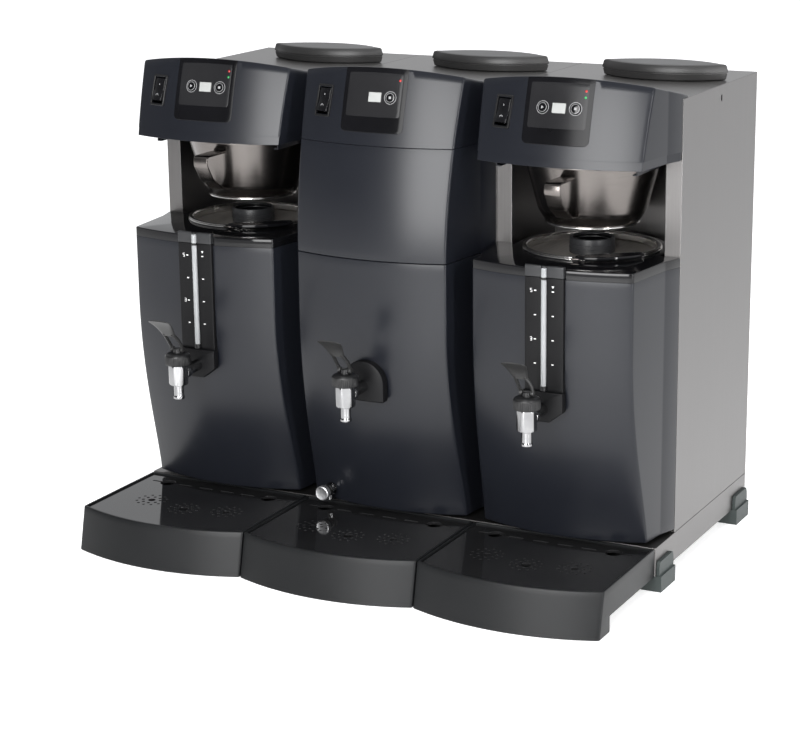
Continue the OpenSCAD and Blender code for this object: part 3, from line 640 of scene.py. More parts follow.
def hood():
    """Hollow hood, open below, with a crowned top and a lip that lies on the cabinet."""
    step = 1.5
    layers = [HOOD_LOW - 6 + step * i for i in range(90)]
    lip_z = CABINET_TOP + 0.4
    centre = Vector((0, -42))

    def skin(inset, back, lip_back, top_drop, edge):
        """Rings from the lower edge up to the rim of the crown, and the shrinking rings over it."""
        tables = {b: [outline(z, inset, b) for z in layers] for b in (back, lip_back)}
        around = range(len(tables[back][0]))

        def point(k, z, b):
            j = min(len(layers) - 2, max(0, int((z - layers[0]) / step)))
            t = (z - layers[j]) / step
            (x0, y0), (x1, y1) = tables[b][j][k], tables[b][j + 1][k]
            return x0 + (x1 - x0) * t, y0 + (y1 - y0) * t

        def top(x, y):
            return crown(x, y) - top_drop

        def crown_meets(k):
            z = 720.0
            for _ in range(6):
                z = top(*point(k, z, lip_back))
            return z

        rings = []
        for i in range(8):
            z = HOOD_LOW + (lip_z - HOOD_LOW) * i / 7
            rings.append([(*point(k, z, back), z) for k in around])
        tops = [crown_meets(k) for k in around]
        for i in range(4):
            heights = [lip_z + (z - edge - lip_z) * i / 3 for z in tops]
            rings.append([(*point(k, heights[k], lip_back), heights[k]) for k in around])
        rim = [Vector(point(k, tops[k], lip_back)) for k in around]
        for i in range(1, 6):
            a = math.pi / 2 * i / 5
            ring = []
            for p in rim:
                x, y = p + (centre - p).normalized() * edge * (1 - math.cos(a))
                ring.append((x, y, top(x, y) - edge * (1 - math.sin(a))))
            rings.append(ring)
        for share in (0.93, 0.8, 0.6, 0.4, 0.2):
            ring = [centre + (p - centre) * share * (1 - edge / 200) for p in rim]
            rings.append([(x, y, top(x, y)) for x, y in ring])
        return rings, (0, centre.y, top(0, centre.y))

    outer, outer_peak = skin(0, BACK, 18, 0, 3)
    inner, inner_peak = skin(SKIN, BACK - SKIN, 18 - SKIN, SKIN, 1)
    return loft(list(reversed(outer)) + inner, low=outer_peak, high=inner_peak)


def facing(place, lift=0.0):
    """Lays a shape on the front, with the shape's third axis pointing outwards."""
    return lambda p: place((p[0], p[2] + lift, p[1]))


def front_box(x, z, half_a, half_b, radius, out_low, out_high, edge=0.3):
    """Rounded plate on the curved front."""
    return moved(slab(box_outline(half_a, half_b, radius), out_low, out_high, edge), facing(on_front(x, z)))


def front_lathe(x, z, profile, seg=48):
    """Turned shape whose axis stands out of the curved front."""
    return moved(lathe(profile, seg), facing(on_front(x, z)))


def key_hole(x):
    """Hole for a touch key, as the shape that is taken away."""
    return front_lathe(x, KEY_Z, [(0, -14), (8, -14), (8, 8), (0, 8)])


def fascia(half_w=50.5, low=650, r=8, drop=1.2, outer=1.2, inner=0.12):
    """Gloss panel whose top follows the crown and whose lower corners are round."""
    rows, cols = 26, 24
    rings = []
    for i in range(rows + 1):
        t = (i / rows) ** 1.5
        ring = []
        for out, order in ((outer, 1), (inner, -1)):
            row = []
            for j in range(cols + 1):
                u = -1 + 2 * j / cols
                x_edge = u * half_w
                top = crown(x_edge, ARC_Y - math.sqrt(front_r(735) ** 2 - x_edge**2)) - drop
                z = low + t * (top - low)
                rise = min(r, t * (top - low))
                width = half_w - r + math.sqrt(max(0.0, r * r - (r - rise) ** 2))
                here = out if abs(u) < 0.999 else min(out, 0.6)
                if i in (0, rows):
                    here = min(here, 0.7)
                row.append(on_front(u * width, z)((0, here, 0)))
            ring += row[::order]
        rings.append(ring)
    return loft(rings)


def tube_frame(half_a, half_b, radius, width, out_low, out_high, x, z):
    """Raised frame round an opening in the curved front."""
    outer = box_outline(half_a, half_b, radius)
    inner = box_outline(half_a - width, half_b - width, max(0.5, radius - width))
    rings = [
        [(*p, out_low) for p in outer],
        [(*p, out_high - 0.5) for p in outer],
        shrunk(outer, 0.5, out_high),
        shrunk(inner, -0.4, out_high),
        [(*p, out_high - 0.4) for p in inner],
        [(*p, out_low) for p in inner],
    ]
    return moved(loft(rings, loop=True), facing(on_front(x, z)))


def rocker_place(p):
    """Rocker's own (right, out, up), leaning about its pivot 5 mm inside the front."""
    c, s = math.cos(ROCKER_LEAN), math.sin(ROCKER_LEAN)
    a, out, up = p
    return on_front(ROCKER_X, ROCKER_Z)((a, -5 + out * c - up * s, out * s + up * c))


def rocker_body():
    """Concave rocker face, 21 mm wide, with rounded edges."""
    half_h, dish_r = 17.2, 34
    side_view = [(-4, -half_h), (-4, half_h)]
    for i in range(13):
        up = half_h - 2 * half_h * i / 12
        side_view.append((min(8.0, 6.5 + dish_r - math.sqrt(dish_r**2 - up * up)), up))
    rings = []
    for a, inset in ((-10.5, 0.8), (-10.2, 0.3), (-9.7, 0), (9.7, 0), (10.2, 0.3), (10.5, 0.8)):
        rings.append([(a, out, up) for out, up, _ in shrunk(side_view, inset, 0)])
    return moved(loft(rings), rocker_place)


def rocker_marks():
    """Printed bar and ring on a rocker's face."""
    bar = slab(box_outline(0.6, 2.6, 0.4, 0, 9.5), 6.95, 7.5, 0.1)
    ring = lathe([(2.0, 7.0), (2.0, 7.5), (2.9, 7.5), (2.9, 7.0)], 32, closed=True)
    return moved(joined(bar, moved(ring, at(0, -9.5))), facing(rocker_place, 0.2))


def key_sign(starts):
    """Printed ring with a triangle for start or a square for stop."""
    ring = lathe([(6.0, 2.6), (6.0, 2.96), (6.5, 2.9), (6.5, 2.6)], 48, closed=True)
    plan = box_outline(1.8, 1.8, 0.3)
    if starts:
        plan = rounded([(-1.6, -2.2), (2.2, 0), (-1.6, 2.2)], closed=True)
    return joined(ring, slab(plan, 2.8, 3.15, 0.08))


def add_key(name, x, x0):
    """Touch key with its printed sign, and the printed ring round it on the panel."""
    on_panel = facing(on_front(x, KEY_Z))
    make(name + "_cap", front_lathe(x, KEY_Z, KEY_CAP), GLOSS, name, x0, [name])
    make(name + "_sign", moved(key_sign(x < 0), on_panel), PRINT, name, x0)
    make(name + "_halo", moved(lathe(KEY_HALO, 56, closed=True), on_panel), PRINT, "machine", x0)


ROCKER_LEAN = math.radians(7)
KEY_CAP = rounded([(0, 3.0), (7.2, 2.6, 1.0), (7.2, -4.4), (3, -4.4), (3, -5.4), (0, -5.4)])
KEY_HALO = [(8.7, 1.1), (8.7, 1.7), (9.4, 1.7), (9.4, 1.1)]
LAMP = [(0, 2.3), (1.0, 2.2), (1.7, 1.7), (1.8, 1.0), (0, 1.0)]
LAMP_X = 39.5
KEYS = {
    "left": {"left_start_key": -22, "left_stop_key": 27},
    "centre": {"centre_key": 27},
    "right": {"right_start_key": -22, "right_stop_key": 27},
}

for side, x0 in STATIONS.items():
    key_holes = joined(*[key_hole(x) for x in KEYS[side].values()])
    rocker_hole = front_box(ROCKER_X, ROCKER_Z, 12.5, 20, 1, -16, 8, 0.2)
    shell = make(side + "_hood_shell", hood(), COVER, "machine", x0, [side + "_hood"])
    cut(shell, joined(rocker_hole, key_holes), x0)
    panel = make(side + "_fascia", fascia(), PANEL, "machine", x0, sharp=20)
    cut(panel, key_holes, x0, 20)
    zone = make(side + "_fascia_zone", fascia(46, 672, 4, 6, 1.5, 1.1), ZONE, "machine", x0, sharp=20)
    cut(zone, key_holes, x0, 20)
    if side == "left":
        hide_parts("fascias")
    frame_shape = tube_frame(14.5, 23.5, 2.5, 2.8, -0.5, 2.2, ROCKER_X, ROCKER_Z)
    make(side + "_rocker_frame", frame_shape, BLACK, "machine", x0, slot="gloss_black")
    make(side + "_rocker_face", rocker_body(), GLOSS, side + "_rocker", x0, [side + "_rocker"])
    make(side + "_rocker_marks", rocker_marks(), PRINT, side + "_rocker", x0)
    for name, x in KEYS[side].items():
        add_key(name, x, x0)
    screen = front_box(DISPLAY_X, KEY_Z, 10, 7, 1, 1.0, 1.75, 0.2)
    make(side + "_display", screen, DISPLAY, "machine", x0)
    frame_shape = tube_frame(11, 8, 1.6, 0.9, 0.9, 1.95, DISPLAY_X, KEY_Z)
    make(side + "_display_frame", frame_shape, BLACK, "machine", x0, slot="gloss_black")
    make(side + "_lamp_red", front_lathe(LAMP_X, 724, LAMP, 24), RED_LED, "machine", x0)
    if side != "centre":
        make(side + "_lamp_green", front_lathe(LAMP_X, 715.5, LAMP, 24), GREEN_LED, "machine", x0)

# ---- filter baskets ----


def turned(profile, seg=128):
    """Closed profile turned about the axis of the pot."""
    return moved(lathe(profile, seg, True), at(0, POT_Y))


def basket():
    """Conical basket with a foot and a flat flange."""
    outside = [(3, 518), (67, 518, 1.2), (68.5, 522, 3), (79, 538, 30), (98, 609.8, 0.6)]
    flange = [(104, 609.8, 0.6), (104, 611.8, 0.6)]
    inside = [(96.4, 611.8, 0.6), (77.4, 538, 30), (66, 522, 2), (65.4, 519.6, 1), (3, 519.6)]
    return turned(rounded(outside + flange + inside, closed=True, steps=6))


def strap():
    """D-shaped strap handle swept along a smooth side view."""
    side_view = [(-60, 536), (-84, 541, 20), (-112, 559, 26), (-129, 584, 14), (-127, 598, 7), (-76, 598)]
    path = rounded(side_view, steps=8)
    half_w, thick, edge = 12, 2.5, 0.8
    corners = [(-half_w, 0), (half_w, 0), (half_w, thick), (-half_w, thick)]
    section = rounded([(*p, edge) for p in corners], closed=True, steps=3)
    rings = []
    for i, (y, z) in enumerate(path):
        a, b = path[max(0, i - 1)], path[min(len(path) - 1, i + 1)]
        along = Vector((b[0] - a[0], b[1] - a[1])).normalized()
        rings.append([(w, y + along.y * t, z - along.x * t) for w, t in section])
    return loft(rings)


for side, x0 in BREWERS.items():
    body = side + "_basket"
    make(body + "_cone", basket(), POLISHED, body, x0, [side + "_filter_basket"])
    make(body + "_bead", turned(circle(67.8, 520, 1.8, 12)), RIM, body, x0)
    make(body + "_strap", strap(), POLISHED, body, x0, [side + "_basket_handle"])

# ---- pots and lids ----


def pot():
    """Polished pot with a rolled rim over the deck."""
    r = RIM_R - 4
    outside = [(0, 268), (r - 6, 268), (r, 274), (r, DECK_TOP)]
    turns = [math.pi * k / 8 for k in range(1, 9)]
    rim = [(99.6 + 2.4 * math.sin(a), 481.6 - 1.6 * math.cos(a)) for a in turns]
    inside = [(r - 1.5, DECK_TOP + 2), (r - 1.5, 274), (r - 7, 269.5), (0, 269.5)]
    return moved(lathe(outside + rim + inside, 128), at(0, POT_Y))


def lid_ring():
    """Polished wall and flange of the lid, over the pot's rim."""
    outside = [(95, 471.5), (96.1, 471.5, 0.4), (96.1, LID_Z, 0.4), (101, LID_Z, 0.6), (101, 485, 0.7)]
    inside = [(95.2, 485, 1.2), (94.2, 482, 1), (94.2, 471.5)]
    return turned(rounded(outside + inside, closed=True))


def lid_floor():
    """Brushed floor of the lid, dished a little towards the funnel."""
    profile = [(10, 471.6), (94.1, 471.6), (94.1, 475.5, 0.5), (90, 473.6, 2), (10, 473.3)]
    return turned(rounded(profile, closed=True))


def funnel():
    """Ring with two raised bands that stands on the lid's floor."""
    profile = [(29, 473.5), (33, 473.5, 0.4), (33, 496.5, 1.6), (29, 496.5, 1.6), (27.5, 490, 1)]
    profile.append((29, 486, 1))
    shapes = [turned(rounded(profile, closed=True, steps=4), 96)]
    for z in (480, 486):
        band = [(32.6, z), (33.5, z + 0.4, 0.2), (33.5, z + 1.4, 0.2), (32.6, z + 1.8)]
        shapes.append(turned(rounded(band, closed=True), 96))
    return joined(*shapes)


def funnel_cup():
    """Gloss black inside of the funnel with its centre hole."""
    profile = [(9, 475.5), (28.9, 480), (28.9, 494.5, 0.5), (27.8, 494.5, 0.5), (27.6, 482.5, 1), (10, 477.5)]
    return turned(rounded(profile, closed=True), 96)


def grip():
    """Black grip that follows the front right of the rim, thickest in its middle."""
    rings = []
    steps = 36
    low = 0.3
    inner = RIM_R - 0.6
    for i in range(steps + 1):
        a = math.radians(-81 + 58 * i / steps)
        swell = max(0.05, math.sin(math.pi * i / steps) ** 0.45)
        outer, top = RIM_R + 2 + 12.5 * swell, 3.2 + 4.7 * swell
        radii, shoulder = (0.2, 0.3, 0.3, 0.3, 0.2), inner + 1.2
        if top > 5:
            radii, shoulder = (0.3, 1.2, 1.6, 2.2, 0.8), inner + 3
        high = low + top
        corners = [(inner, low), (outer, low), (outer, low + top * 0.62), (shoulder, high), (inner, high)]
        section = rounded([(*p, radius) for p, radius in zip(corners, radii)], closed=True, steps=4)
        rings.append([(r * math.cos(a), r * math.sin(a) + POT_Y, LID_Z + h) for r, h in section])
    return loft(rings)


def tab():
    """Steel tongue of the lid that reaches out under the grip's left end."""
    plate = slab(box_outline(6.5, 6, 1.2, RIM_R + 3, 0), LID_Z + 0.2, 485.1, 0.4)
    turn = Matrix.Rotation(math.radians(-80), 3, "Z")
    return moved(plate, lambda p: tuple(turn @ Vector(p) + Vector((0, POT_Y, 0))))


LID_Z = 483.4

for side, x0 in BREWERS.items():
    body = side + "_pot_lid"
    make(side + "_pot_steel", pot(), RIM, side + "_container", x0, [side + "_pot"])
    make(side + "_lid_ring", lid_ring(), RIM, body, x0, [body])
    make(side + "_lid_floor", lid_floor(), LID_FLOOR, body, x0)
    make(side + "_lid_tab", tab(), POLISHED, body, x0)
    make(side + "_lid_funnel", funnel(), RING, body, x0)
    make(side + "_lid_cup", funnel_cup(), GLOSS, body, x0)
    make(side + "_lid_grip", grip(), GLOSS, body, x0)

# ---- gauges ----


def gauge_section(z, half_w, face, notch, gap):
    """Plan of the gauge plate: flat face with a channel, back close to the container's front."""
    radius = front_r(z) + gap
    hollow = 4.2
    face_line = [(-half_w, face, 1.5), (-hollow, face, 0.4)]
    if notch:
        face_line += [(-hollow, face + notch, 0.3), (hollow, face + notch, 0.3)]
    face_line += [(hollow, face, 0.4), (half_w, face, 1.5)]
    back_x = [half_w * (1 - i / 5) for i in range(11)]
    back_line = [(x, ARC_Y - math.sqrt(radius**2 - x * x)) for x in back_x]
    return rounded(face_line + back_line, closed=True, steps=4)


def gauge(low, high, half_w, face, notch, edge=0.5, steps=12):
    """Gauge plate from low to high."""
    rings = []
    for z, e in rim_levels(low, high, edge, (high - low) / steps):
        section = gauge_section(z, half_w, face, notch, 0.3)
        rings.append(shrunk(section, e, z) if e > 0 else [(*p, z) for p in section])
    return loft(rings)


def block(side_view, layers):
    """Block drawn from the front, as (y, inset) layers from its back to its rounded face."""
    return loft([[(x, y, z) for x, z, _ in shrunk(side_view, e, 0)] for y, e in layers])


def tap_boss():
    """Block round the tap's shank with a blunt point below."""
    right = [(10, 261, 3), (31, 277, 2), (31, 305.5, 1.5)]
    left = [(-x, z, r) for x, z, r in reversed(right)]
    return block(rounded(left + right, closed=True), ((-146.4, 0), (-156.6, 0), (-157.6, 0.5), (-158, 1.4)))


def level_tube():
    """Clear tube in the gauge's channel."""
    profile = rounded([(2.6, 307), (4, 307, 0.3), (4, 483, 0.8), (2.6, 483, 0.5)], closed=True)
    return moved(lathe(profile, 40, True), at(0, FACE_Y - 0.5))


def ferrules():
    """Collars at the tube's foot and head."""
    foot = [(4.02, 306.2), (5.0, 306.2, 0.5), (5.0, 313, 0.8), (4.02, 313)]
    head = [(4.02, 466.5), (4.5, 466.5, 0.3), (4.5, 470, 0.3), (4.02, 470)]
    collars = [lathe(rounded(profile, closed=True), 40, True) for profile in (foot, head)]
    return moved(joined(*collars), at(0, FACE_Y - 0.5))


def level_marks(x):
    """Short printed level marks beside the tube."""
    return joined(*[slab(box_outline(1.7, 0.75, 0.3, x, z), 0, 0.3, 0.08) for z in MARK_HEIGHTS])


def digit(strokes, x, z):
    """Level number drawn from straight strokes, each named by a letter."""
    half_w, half_h, thick = 1.3, 2.4, 0.35
    shapes = []
    for stroke in strokes:
        across, up, wide = STROKES[stroke]
        half_a = half_w if wide else thick
        half_b = thick if wide else half_h / 2
        plan = box_outline(half_a, half_b, 0.15, x + across * half_w, z + up * half_h)
        shapes.append(slab(plan, 0, 0.3, 0.05, 1))
    return joined(*shapes)


def gauge_print():
    """Level marks, two digits and a pointer at the full mark, printed on the gauge's face."""
    pointer = slab(rounded([(11.5, 458), (15.5, 458), (13.5, 454.6)], closed=True), 0, 0.3, 0.05)
    digits = [digit("afgcd", -19.5, MARK_HEIGHTS[0]), digit("abgcd", -19.5, MARK_HEIGHTS[2])]
    flat = joined(level_marks(-13.5), level_marks(13.5), *digits, pointer)
    return moved(flat, lambda p: (p[0], FACE_Y - p[2] + 0.05, p[1]))


# each stroke's place across and up, and whether it lies level
STROKES = {
    "a": (0, 1, True),
    "b": (1, 0.5, False),
    "c": (1, -0.5, False),
    "d": (0, -1, True),
    "f": (-1, 0.5, False),
    "g": (0, 0, True),
}
MARK_HEIGHTS = (450, 415, 380, 345)

for side, x0 in BREWERS.items():
    body = side + "_container"
    plate = gauge(305.5, 469, 29.5, FACE_Y, 3.6)
    make(side + "_gauge_face", plate, MATT_BLACK, body, x0, [side + "_gauge_plate"])
    make(side + "_gauge_cap", gauge(469.4, 486, 29.5, FACE_Y - 0.6, 3.8, 1.2, 4), RING, body, x0)
    make(side + "_tap_boss", tap_boss(), MATT_BLACK, body, x0)
    make(side + "_level_tube", level_tube(), TUBE, body, x0, [side + "_gauge_tube"])
    make(side + "_tube_ferrules", ferrules(), BLACK, body, x0)
    make(side + "_gauge_print", gauge_print(), WHITE, body, x0)

# ---- taps ----


def hexagon_body():
    """Chrome body with six flats and a chamfered top, over the spout."""
    levels = ((262, 11), (263.2, 13.6), (265, 14.5), (290.5, 14.5), (292, 14.4), (293.2, 13.9), (294.4, 12.6))

    def flats(a):
        return 13.2 / math.cos((a + math.pi / 6) % (math.pi / 3) - math.pi / 6)

    return loft([polar(96, z, lambda k, a: min(flats(a), limit)) for z, limit in levels])


def spout():
    """Chrome outlet below the tap's body."""
    outside = [(5, 241), (8.5, 241, 0.4), (8.5, 244, 1.2), (7.5, 246, 1), (7.5, 262), (9.5, 263, 0.4)]
    return lathe(rounded(outside + [(9.5, 265), (5, 265)], closed=True, steps=3), 64, True)


def bonnet():
    """Knurled black bonnet with a shoulder and the post that carries the lever."""
    knurl = [(295.5, 19), (300, 19), (307, 19)]
    shoulder = [(308.5, 18.8), (309.6, 18.2), (311.4, 15.5), (312, 13)]
    post = [(312.4, 6.6), (318.4, 6), (319, 5.3)]
    rings = []
    for z, r in [(294, 17.5), (294.6, 18.6)] + knurl + shoulder + post:
        rib = 0.45 if (z, r) in knurl else 0
        rings.append(polar(144, z, lambda k, a: r + rib * (k % 3 == 0)))
    return loft(rings)


def shank(back):
    """Pipe from the tap's body back into the front, with a collar."""
    reach = back - TAP_Y
    collar = [(9, 10), (12, 10, 0.8), (12, 22, 0.8), (9, 22)]
    profile = rounded([(0, 0), (9, 0)] + collar + [(9, reach), (0, reach)], steps=3)
    return moved(lathe(profile, 56), lambda p: (p[0], TAP_Y + p[2], p[1] + 280))


def paddle():
    """Curved paddle, in the lever's own frame."""
    steps = 22
    rings = []
    for i in range(steps + 1):
        t = i / steps
        half_w = 11.0 + 9.6 * t**1.1
        if t > 0.86:
            half_w *= math.sqrt(max(0.05, 1 - ((t - 0.86) / 0.15) ** 2 * 0.55))
        curl = 3.4 * t * t - 1.2 * math.sin(math.pi * t)
        thick = 4.6 - 2.2 * t
        ring = []
        for c, s in circle(0, 0, 1, 32):
            x = half_w * math.copysign(abs(c) ** 0.55, c)
            y = thick / 2 * math.copysign(abs(s) ** 0.8, s)
            ring.append((x, y - curl - 1.1 * (x / half_w) ** 2 * t, 34.5 + 37.5 * t))
        rings.append(ring)
    return loft(rings)


def arm(sign):
    """Bowed arm of a lever on one side."""
    rings = []
    for i in range(17):
        t = i / 16
        bow = math.sin(math.pi * t)
        middle = sign * (8.6 + 1.6 * bow - 1.4 * t * t)
        rings.append([(middle + 2.2 * c, 2.9 * s + 2 * bow, -3 + 40.5 * t) for c, s in circle(0, 0, 1, 16)])
    return loft(rings)


def across(radius, half_w, edge, seg, x=0):
    """Round pin or boss that lies across the lever."""
    profile = rounded([(0, -half_w), (radius, -half_w, edge), (radius, half_w, edge), (0, half_w)])
    return moved(lathe(profile, seg), lambda p: (p[2] + x, p[1], p[0]))


def lever():
    """Paddle on two bowed arms with a cross pin, leaning forward."""
    shapes = [paddle()]
    for sign in (-1, 1):
        shapes += [arm(sign), across(4.4, 2.3, 0.6, 32, sign * 8.6)]
    return moved(joined(*shapes, across(2.3, 11, 0.4, 24)), at(0, TAP_Y, TAP_LOW + 76.5, 39))


def centre_block():
    """Half-round block behind the middle tap."""
    top = [(34 * math.cos(math.pi * k / 32), 284 + 34 * math.sin(math.pi * k / 32)) for k in range(33)]
    low = rounded([(-34, 284), (-34, 257, 4), (34, 257, 4), (34, 284)], steps=4)[1:-1]
    return block(top + low, ((-144.5, 0), (-156, 0), (-157.3, 0.6), (-158, 1.8)))


for side, x0 in STATIONS.items():
    body = "machine" if side == "centre" else side + "_container"
    chrome = moved(joined(hexagon_body(), spout()), at(0, TAP_Y))
    chrome = joined(chrome, shank(-60 if side == "centre" else -76))
    make(side + "_tap_chrome", chrome, CHROME, body, x0, [side + "_tap_body"], sharp=25)
    make(side + "_tap_bonnet", moved(bonnet(), at(0, TAP_Y)), BLACK, body, x0, sharp=25)
    make(side + "_tap_paddle", lever(), LEVER, side + "_lever", x0, [side + "_tap_lever"], sharp=40)
make("centre_tap_boss", centre_block(), MATT_BLACK, "machine", 0, ["tap_block"])

# ---- drain cock ----


def drain_knob():
    """Ribbed chrome knob with a dished face."""
    rings = []
    for r, z in ((9.5, 0), (10.8, 0.6), (11.3, 1.4), (11.3, 8.4), (10.9, 9.3), (9.6, 10), (8.2, 9.6)):
        groove = 0.5 if r == 11.3 else 0
        rings.append(polar(96, z, lambda k, a: r - groove * (k % 4 == 0)))
    stem = lathe([(0, -9.7), (4, -9.7), (4, 0.2), (0, 0.2)], 32)
    return joined(loft(rings, high=(0, 0, 9.2)), stem)


DRAIN_X, DRAIN_Z = -91, 92
knob = moved(drain_knob(), along_y(DRAIN_X, -118, DRAIN_Z))
make("drain_knob_head", knob, KNOB, "drain_knob", 0, ["drain_knob"], sharp=25)
sleeve = lathe(rounded([(4.2, 0), (8.6, 0, 0.6), (8.6, 7, 0.6), (4.2, 7)], closed=True), 48, True)
make("drain_sleeve", moved(sleeve, along_y(DRAIN_X, -108.6, DRAIN_Z)), BLACK, "machine")

# ---- boiler lids ----

LENS_X, LENS_Y = 37, 205
LENS_HALF_L = 104
LENS_HALF_D = 45


def lens(half_l, half_d, level, steps=28):
    """Outline of two arcs with blunt tips."""
    arc = (LENS_HALF_L**2 + LENS_HALF_D**2) / (2 * LENS_HALF_D)
    ring = []
    for sign in (-1, 1):
        for i in range(steps + 1):
            x = half_l * (-1 + 2 * i / steps) * -sign
            reach = math.sqrt((arc - (LENS_HALF_D - half_d)) ** 2 - x * x) - (arc - LENS_HALF_D)
            ring.append((x + LENS_X, max(1.5, reach) * sign + LENS_Y, level))
    return ring


def boiler_lid():
    """Lens-shaped lid with a groove round its side and a plug below."""
    low = CABINET_TOP + 0.4
    waist = low + 11.5
    foot = [(94, 37.2, low), (96, 38.6, low + 1.2), (98.2, 40.4, waist - 2.6)]
    groove = [(97.4, 39.8, waist - 2.0), (97.4, 39.8, waist - 0.8)]
    side_wall = [(99.2, 41.2, waist - 0.2), (99.4, 41.4, waist + 1.2), (97.0, 39.2, 727.6)]
    top = [(95.6, 38.0, 729.2), (93.0, 36.0, 729.9), (80.0, 30.0, 730)]
    plug = lathe(rounded([(0, 691), (29, 691, 2), (30, 707.5), (0, 707.5)]), 64)
    cover = loft([lens(*size) for size in foot + groove + side_wall + top])
    return joined(cover, moved(plug, at(LENS_X, LENS_Y)))


for side, x0 in STATIONS.items():
    name = side + "_boiler_lid"
    make(name + "_cover", boiler_lid(), LID, name, x0, [name], sharp=28)

# ---- drip trays ----


def tray_plan(z, inset=0.0, radius=None, side=TRAY_SIDE, back=TRAY_BACK, edge=3.0):
    """Plan of a tray at height z: curved front, straight sides, rounded corners."""
    r = (TRAY_R + TRAY_FLARE * (TRAY_RIM - z) / (TRAY_RIM - 1) if radius is None else radius) - inset
    half_w = side - inset
    y_back = back - inset
    turn = math.asin(half_w / r)
    tip = Vector((half_w, TRAY_AXIS - r * math.cos(turn)))
    last = turn - edge / r
    half = [(r * math.sin(last * i / 30), TRAY_AXIS - r * math.cos(last * i / 30)) for i in range(31)]
    half += bend(half[-1], tip, tip + Vector((0, edge)))[1:]
    half += bend((half_w, y_back - 2), (half_w, y_back), (half_w - 2, y_back), 3)
    half.append((0, y_back))
    return [(x, y, z) for x, y in half + [(-x, y) for x, y in reversed(half[1:-1])]]


def tray():
    """Drip tray with a rolled rim, a ledge for the grid and a basin."""
    foot = [(1, 0.8), (1.3, 0.3), (1.9, 0)]
    skirt = [(z, 0) for z in (10, 20, 30, 40, 50, 58, 65.6)]
    rim = [(66.6, 0.3), (67.2, 0.9), (TRAY_RIM, 1.8), (TRAY_RIM, 3.2), (67.0, 3.7), (66.4, 4.0)]
    basin = [(60.4, 4.0), (60.4, 7.0), (59.6, 7.4), (33, 9), (29.5, 11), (28, 16)]
    return loft([tray_plan(*level) for level in foot + skirt + rim + basin])


def in_shaded_basin(face):
    """Whether a tray's face belongs to the inside of the tray, under its grid, which gets painted shade."""
    x, y, z = face.center / MM
    y -= FRONT
    station = min(STATIONS.values(), key=lambda s: abs(s - x))
    reach = math.hypot(x - station, y - TRAY_AXIS)
    behind_seat = abs(x - station) < TRAY_SIDE - 5 and reach < TRAY_R - 4 and y < TRAY_BACK - 4
    return 27.5 < z < 60.2 and behind_seat


def paint_basin_shade(bowl):
    """Paints shade into the inside of a tray, under its grid, with the dull black material; the tray itself
    is one grey moulding.
    """
    # painted shade: the basin under the grid takes the dull black material in place of the tray's grey
    bowl.data.materials.append(MATT_BLACK)
    for face in bowl.data.polygons:
        if in_shaded_basin(face):
            face.material_index = 1


def tray_under():
    """Space under a tray behind its skirt."""
    r = TRAY_R + TRAY_FLARE - 34
    plan = {"radius": r, "side": TRAY_SIDE + 12, "back": TRAY_BACK + 10, "edge": 1.0}
    return loft([tray_plan(z, **plan) for z in (-4, 25)])


for side, x0 in STATIONS.items():
    bowl = make(side + "_tray_bowl", tray(), TRAY, side + "_tray", x0, [side + "_drip_tray"], sharp=26)
    cut(bowl, tray_under(), x0, 26)
    # painted shade: the basin under the grid is made dull black
    paint_basin_shade(bowl)

# ---- drip grids ----

GRID_LOW = 60.7
GRID_TOP = 64.8
CLUSTERS = ((-68, -196, 5.5), (0, -211, 7.5), (68, -196, 5.5))
CLUSTER_RINGS = ((8, 14, 2.2, 0.2), (12, 23, 1.9, 0.0))
SLOT_X = (-60, -21, 18, 55)


def cluster_holes():
    """Each cluster's middle hole and its two rings of small ones."""
    for x, y, r in CLUSTERS:
        yield circle(x, y, r, 28)
        for count, reach, size, start in CLUSTER_RINGS:
            for k in range(count):
                a = start + 2 * math.pi * k / count
                yield circle(x + reach * math.cos(a), y + reach * math.sin(a), size, 12)


def slot_holes():
    """Row of short slots near the back."""
    for x in SLOT_X:
        yield rounded([(x + a, b, 2) for a, b in ((-12, -117), (12, -117), (12, -111), (-12, -111))], True, 3)


def finger_holes():
    """Round finger holes whose slots run out to the sides."""
    start = math.asin(1.6 / 12)
    arc = [start + (2 * math.pi - 2 * start) * k / 40 for k in range(41)]
    for sign in (-1, 1):
        ring = [(sign * (93 + 12 * math.cos(a)), -112 + 12 * math.sin(a)) for a in arc]
        yield ring + [(sign * 121, -112 - 1.6), (sign * 121, -112 + 1.6)]


def drip_grid():
    """Flat plate inside the tray's rim with its holes cut through."""
    edge = 0.5
    plan = [(x, y) for x, y, _ in tray_plan(0, radius=351.3, side=TRAY_SIDE - 4.65, back=-83.7)]
    holes = [*cluster_holes(), *slot_holes(), *finger_holes()]
    stacks = []
    for loop, inset in [(plan, edge)] + [(hole, -edge) for hole in holes]:
        levels = ((GRID_LOW, 0), (GRID_TOP - edge, 0), (GRID_TOP, inset))
        stacks.append([shrunk(loop, shift, z) for z, shift in levels])
    return pierced(stacks)


for side, x0 in STATIONS.items():
    make(side + "_grid_plate", drip_grid(), GRID, side + "_grid", x0, [side + "_drip_grid"])

# ---- floor, light and camera ----

floor_look = material("studio_floor", (0.86, 0.86, 0.86), roughness=0.32, specular=0.25)
floor_shader = floor_look.node_tree.nodes["Principled BSDF"]
put(floor_shader, {"Emission Color": (1, 1, 1, 1), "Emission Strength": 0.62})
vary_roughness(floor_look, noise(floor_look, 2.0), 0.26, 0.34)
HALF_FLOOR = 30000
floor_corners = [(x * HALF_FLOOR, y * HALF_FLOOR, 0) for x, y in ((-1, -1), (1, -1), (1, 1), (-1, 1))]
make("studio_floor", (floor_corners, [(0, 1, 2, 3)]), floor_look, None)

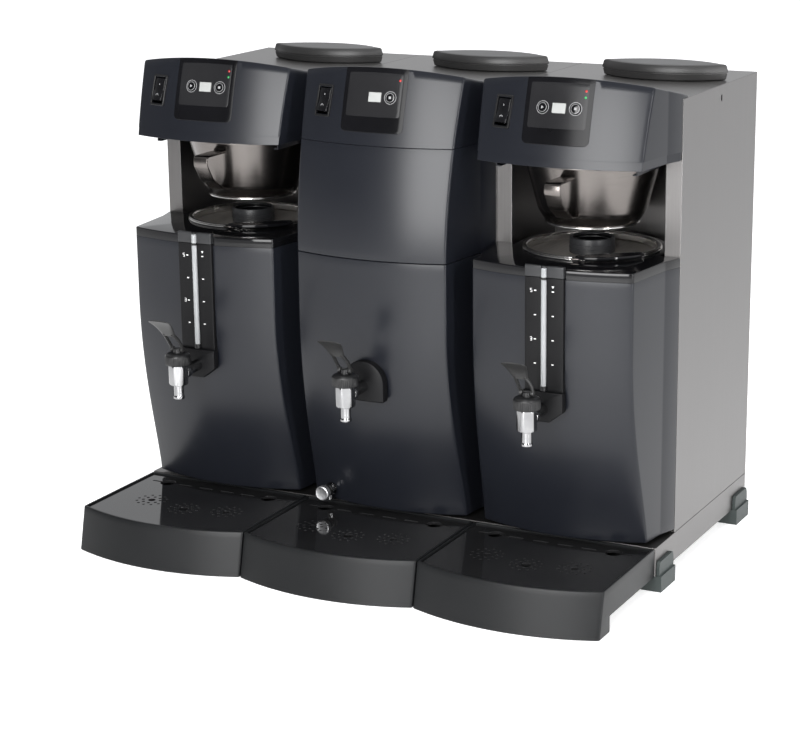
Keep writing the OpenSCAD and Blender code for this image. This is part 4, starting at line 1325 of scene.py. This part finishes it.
world = bpy.data.worlds.new("studio")
bpy.context.scene.world = world
world.use_nodes = True
nodes, links = world.node_tree.nodes, world.node_tree.links
sky = nodes["Background"]
put(sky, {"Color": (0.97, 0.98, 1.0, 1)})
direction = nodes.new("ShaderNodeTexCoord")
towards = nodes.new("ShaderNodeVectorMath")
towards.operation = "DOT_PRODUCT"
towards.inputs[1].default_value = (0.55, 0.8, 0.15)
fade = nodes.new("ShaderNodeMapRange")
put(fade, {"From Min": -0.8, "From Max": 0.9, "To Min": 0.16, "To Max": 1.1})
links.new(direction.outputs["Generated"], towards.inputs[0])
links.new(towards.outputs["Value"], fade.inputs["Value"])
links.new(fade.outputs["Result"], sky.inputs["Strength"])


def softbox(name, position, target, size, power):
    """Soft rectangular light aimed at a point."""
    data = bpy.data.lights.new(name, "AREA")
    data.shape = "RECTANGLE"
    data.size, data.size_y = size
    data.energy = power
    obj = bpy.data.objects.new(name, data)
    bpy.context.scene.collection.objects.link(obj)
    obj.location = position
    obj.rotation_mode = "QUATERNION"
    obj.rotation_quaternion = (Vector(target) - Vector(position)).to_track_quat("-Z", "Y")
    obj.visible_camera = False


softbox("front", (0.38, -2.7, 1.25), (0.2, 0, 0.5), (1.5, 1.9), 112)
softbox("top", (0.2, 0.5, 3.0), (0, 0, 0.3), (2.6, 1.8), 40)
softbox("edge", (2.4, -1.3, 1.0), (0.2, 0, 0.4), (0.14, 2.0), 34)

AZIMUTH = 27.65
ELEVATION = 14.94
ROLL = -0.72
camera_data = bpy.data.cameras.new("camera")
camera = bpy.data.objects.new("camera", camera_data)
bpy.context.scene.collection.objects.link(camera)
bpy.context.scene.camera = camera
camera_data.sensor_width = 36
camera_data.lens = 98.1
camera_data.clip_end = 100
camera.location = (1.4837, -2.8816, 1.1343)
azimuth, elevation = math.radians(AZIMUTH), math.radians(ELEVATION)
towards_camera = Vector((math.sin(azimuth), -math.cos(azimuth), math.tan(elevation))) * math.cos(elevation)
camera.rotation_mode = "QUATERNION"
aim = (-towards_camera).to_track_quat("-Z", "Y").to_matrix() @ Matrix.Rotation(math.radians(ROLL), 3, "Z")
camera.rotation_quaternion = aim.to_quaternion()
bpy.context.scene.view_settings.view_transform = "Standard"
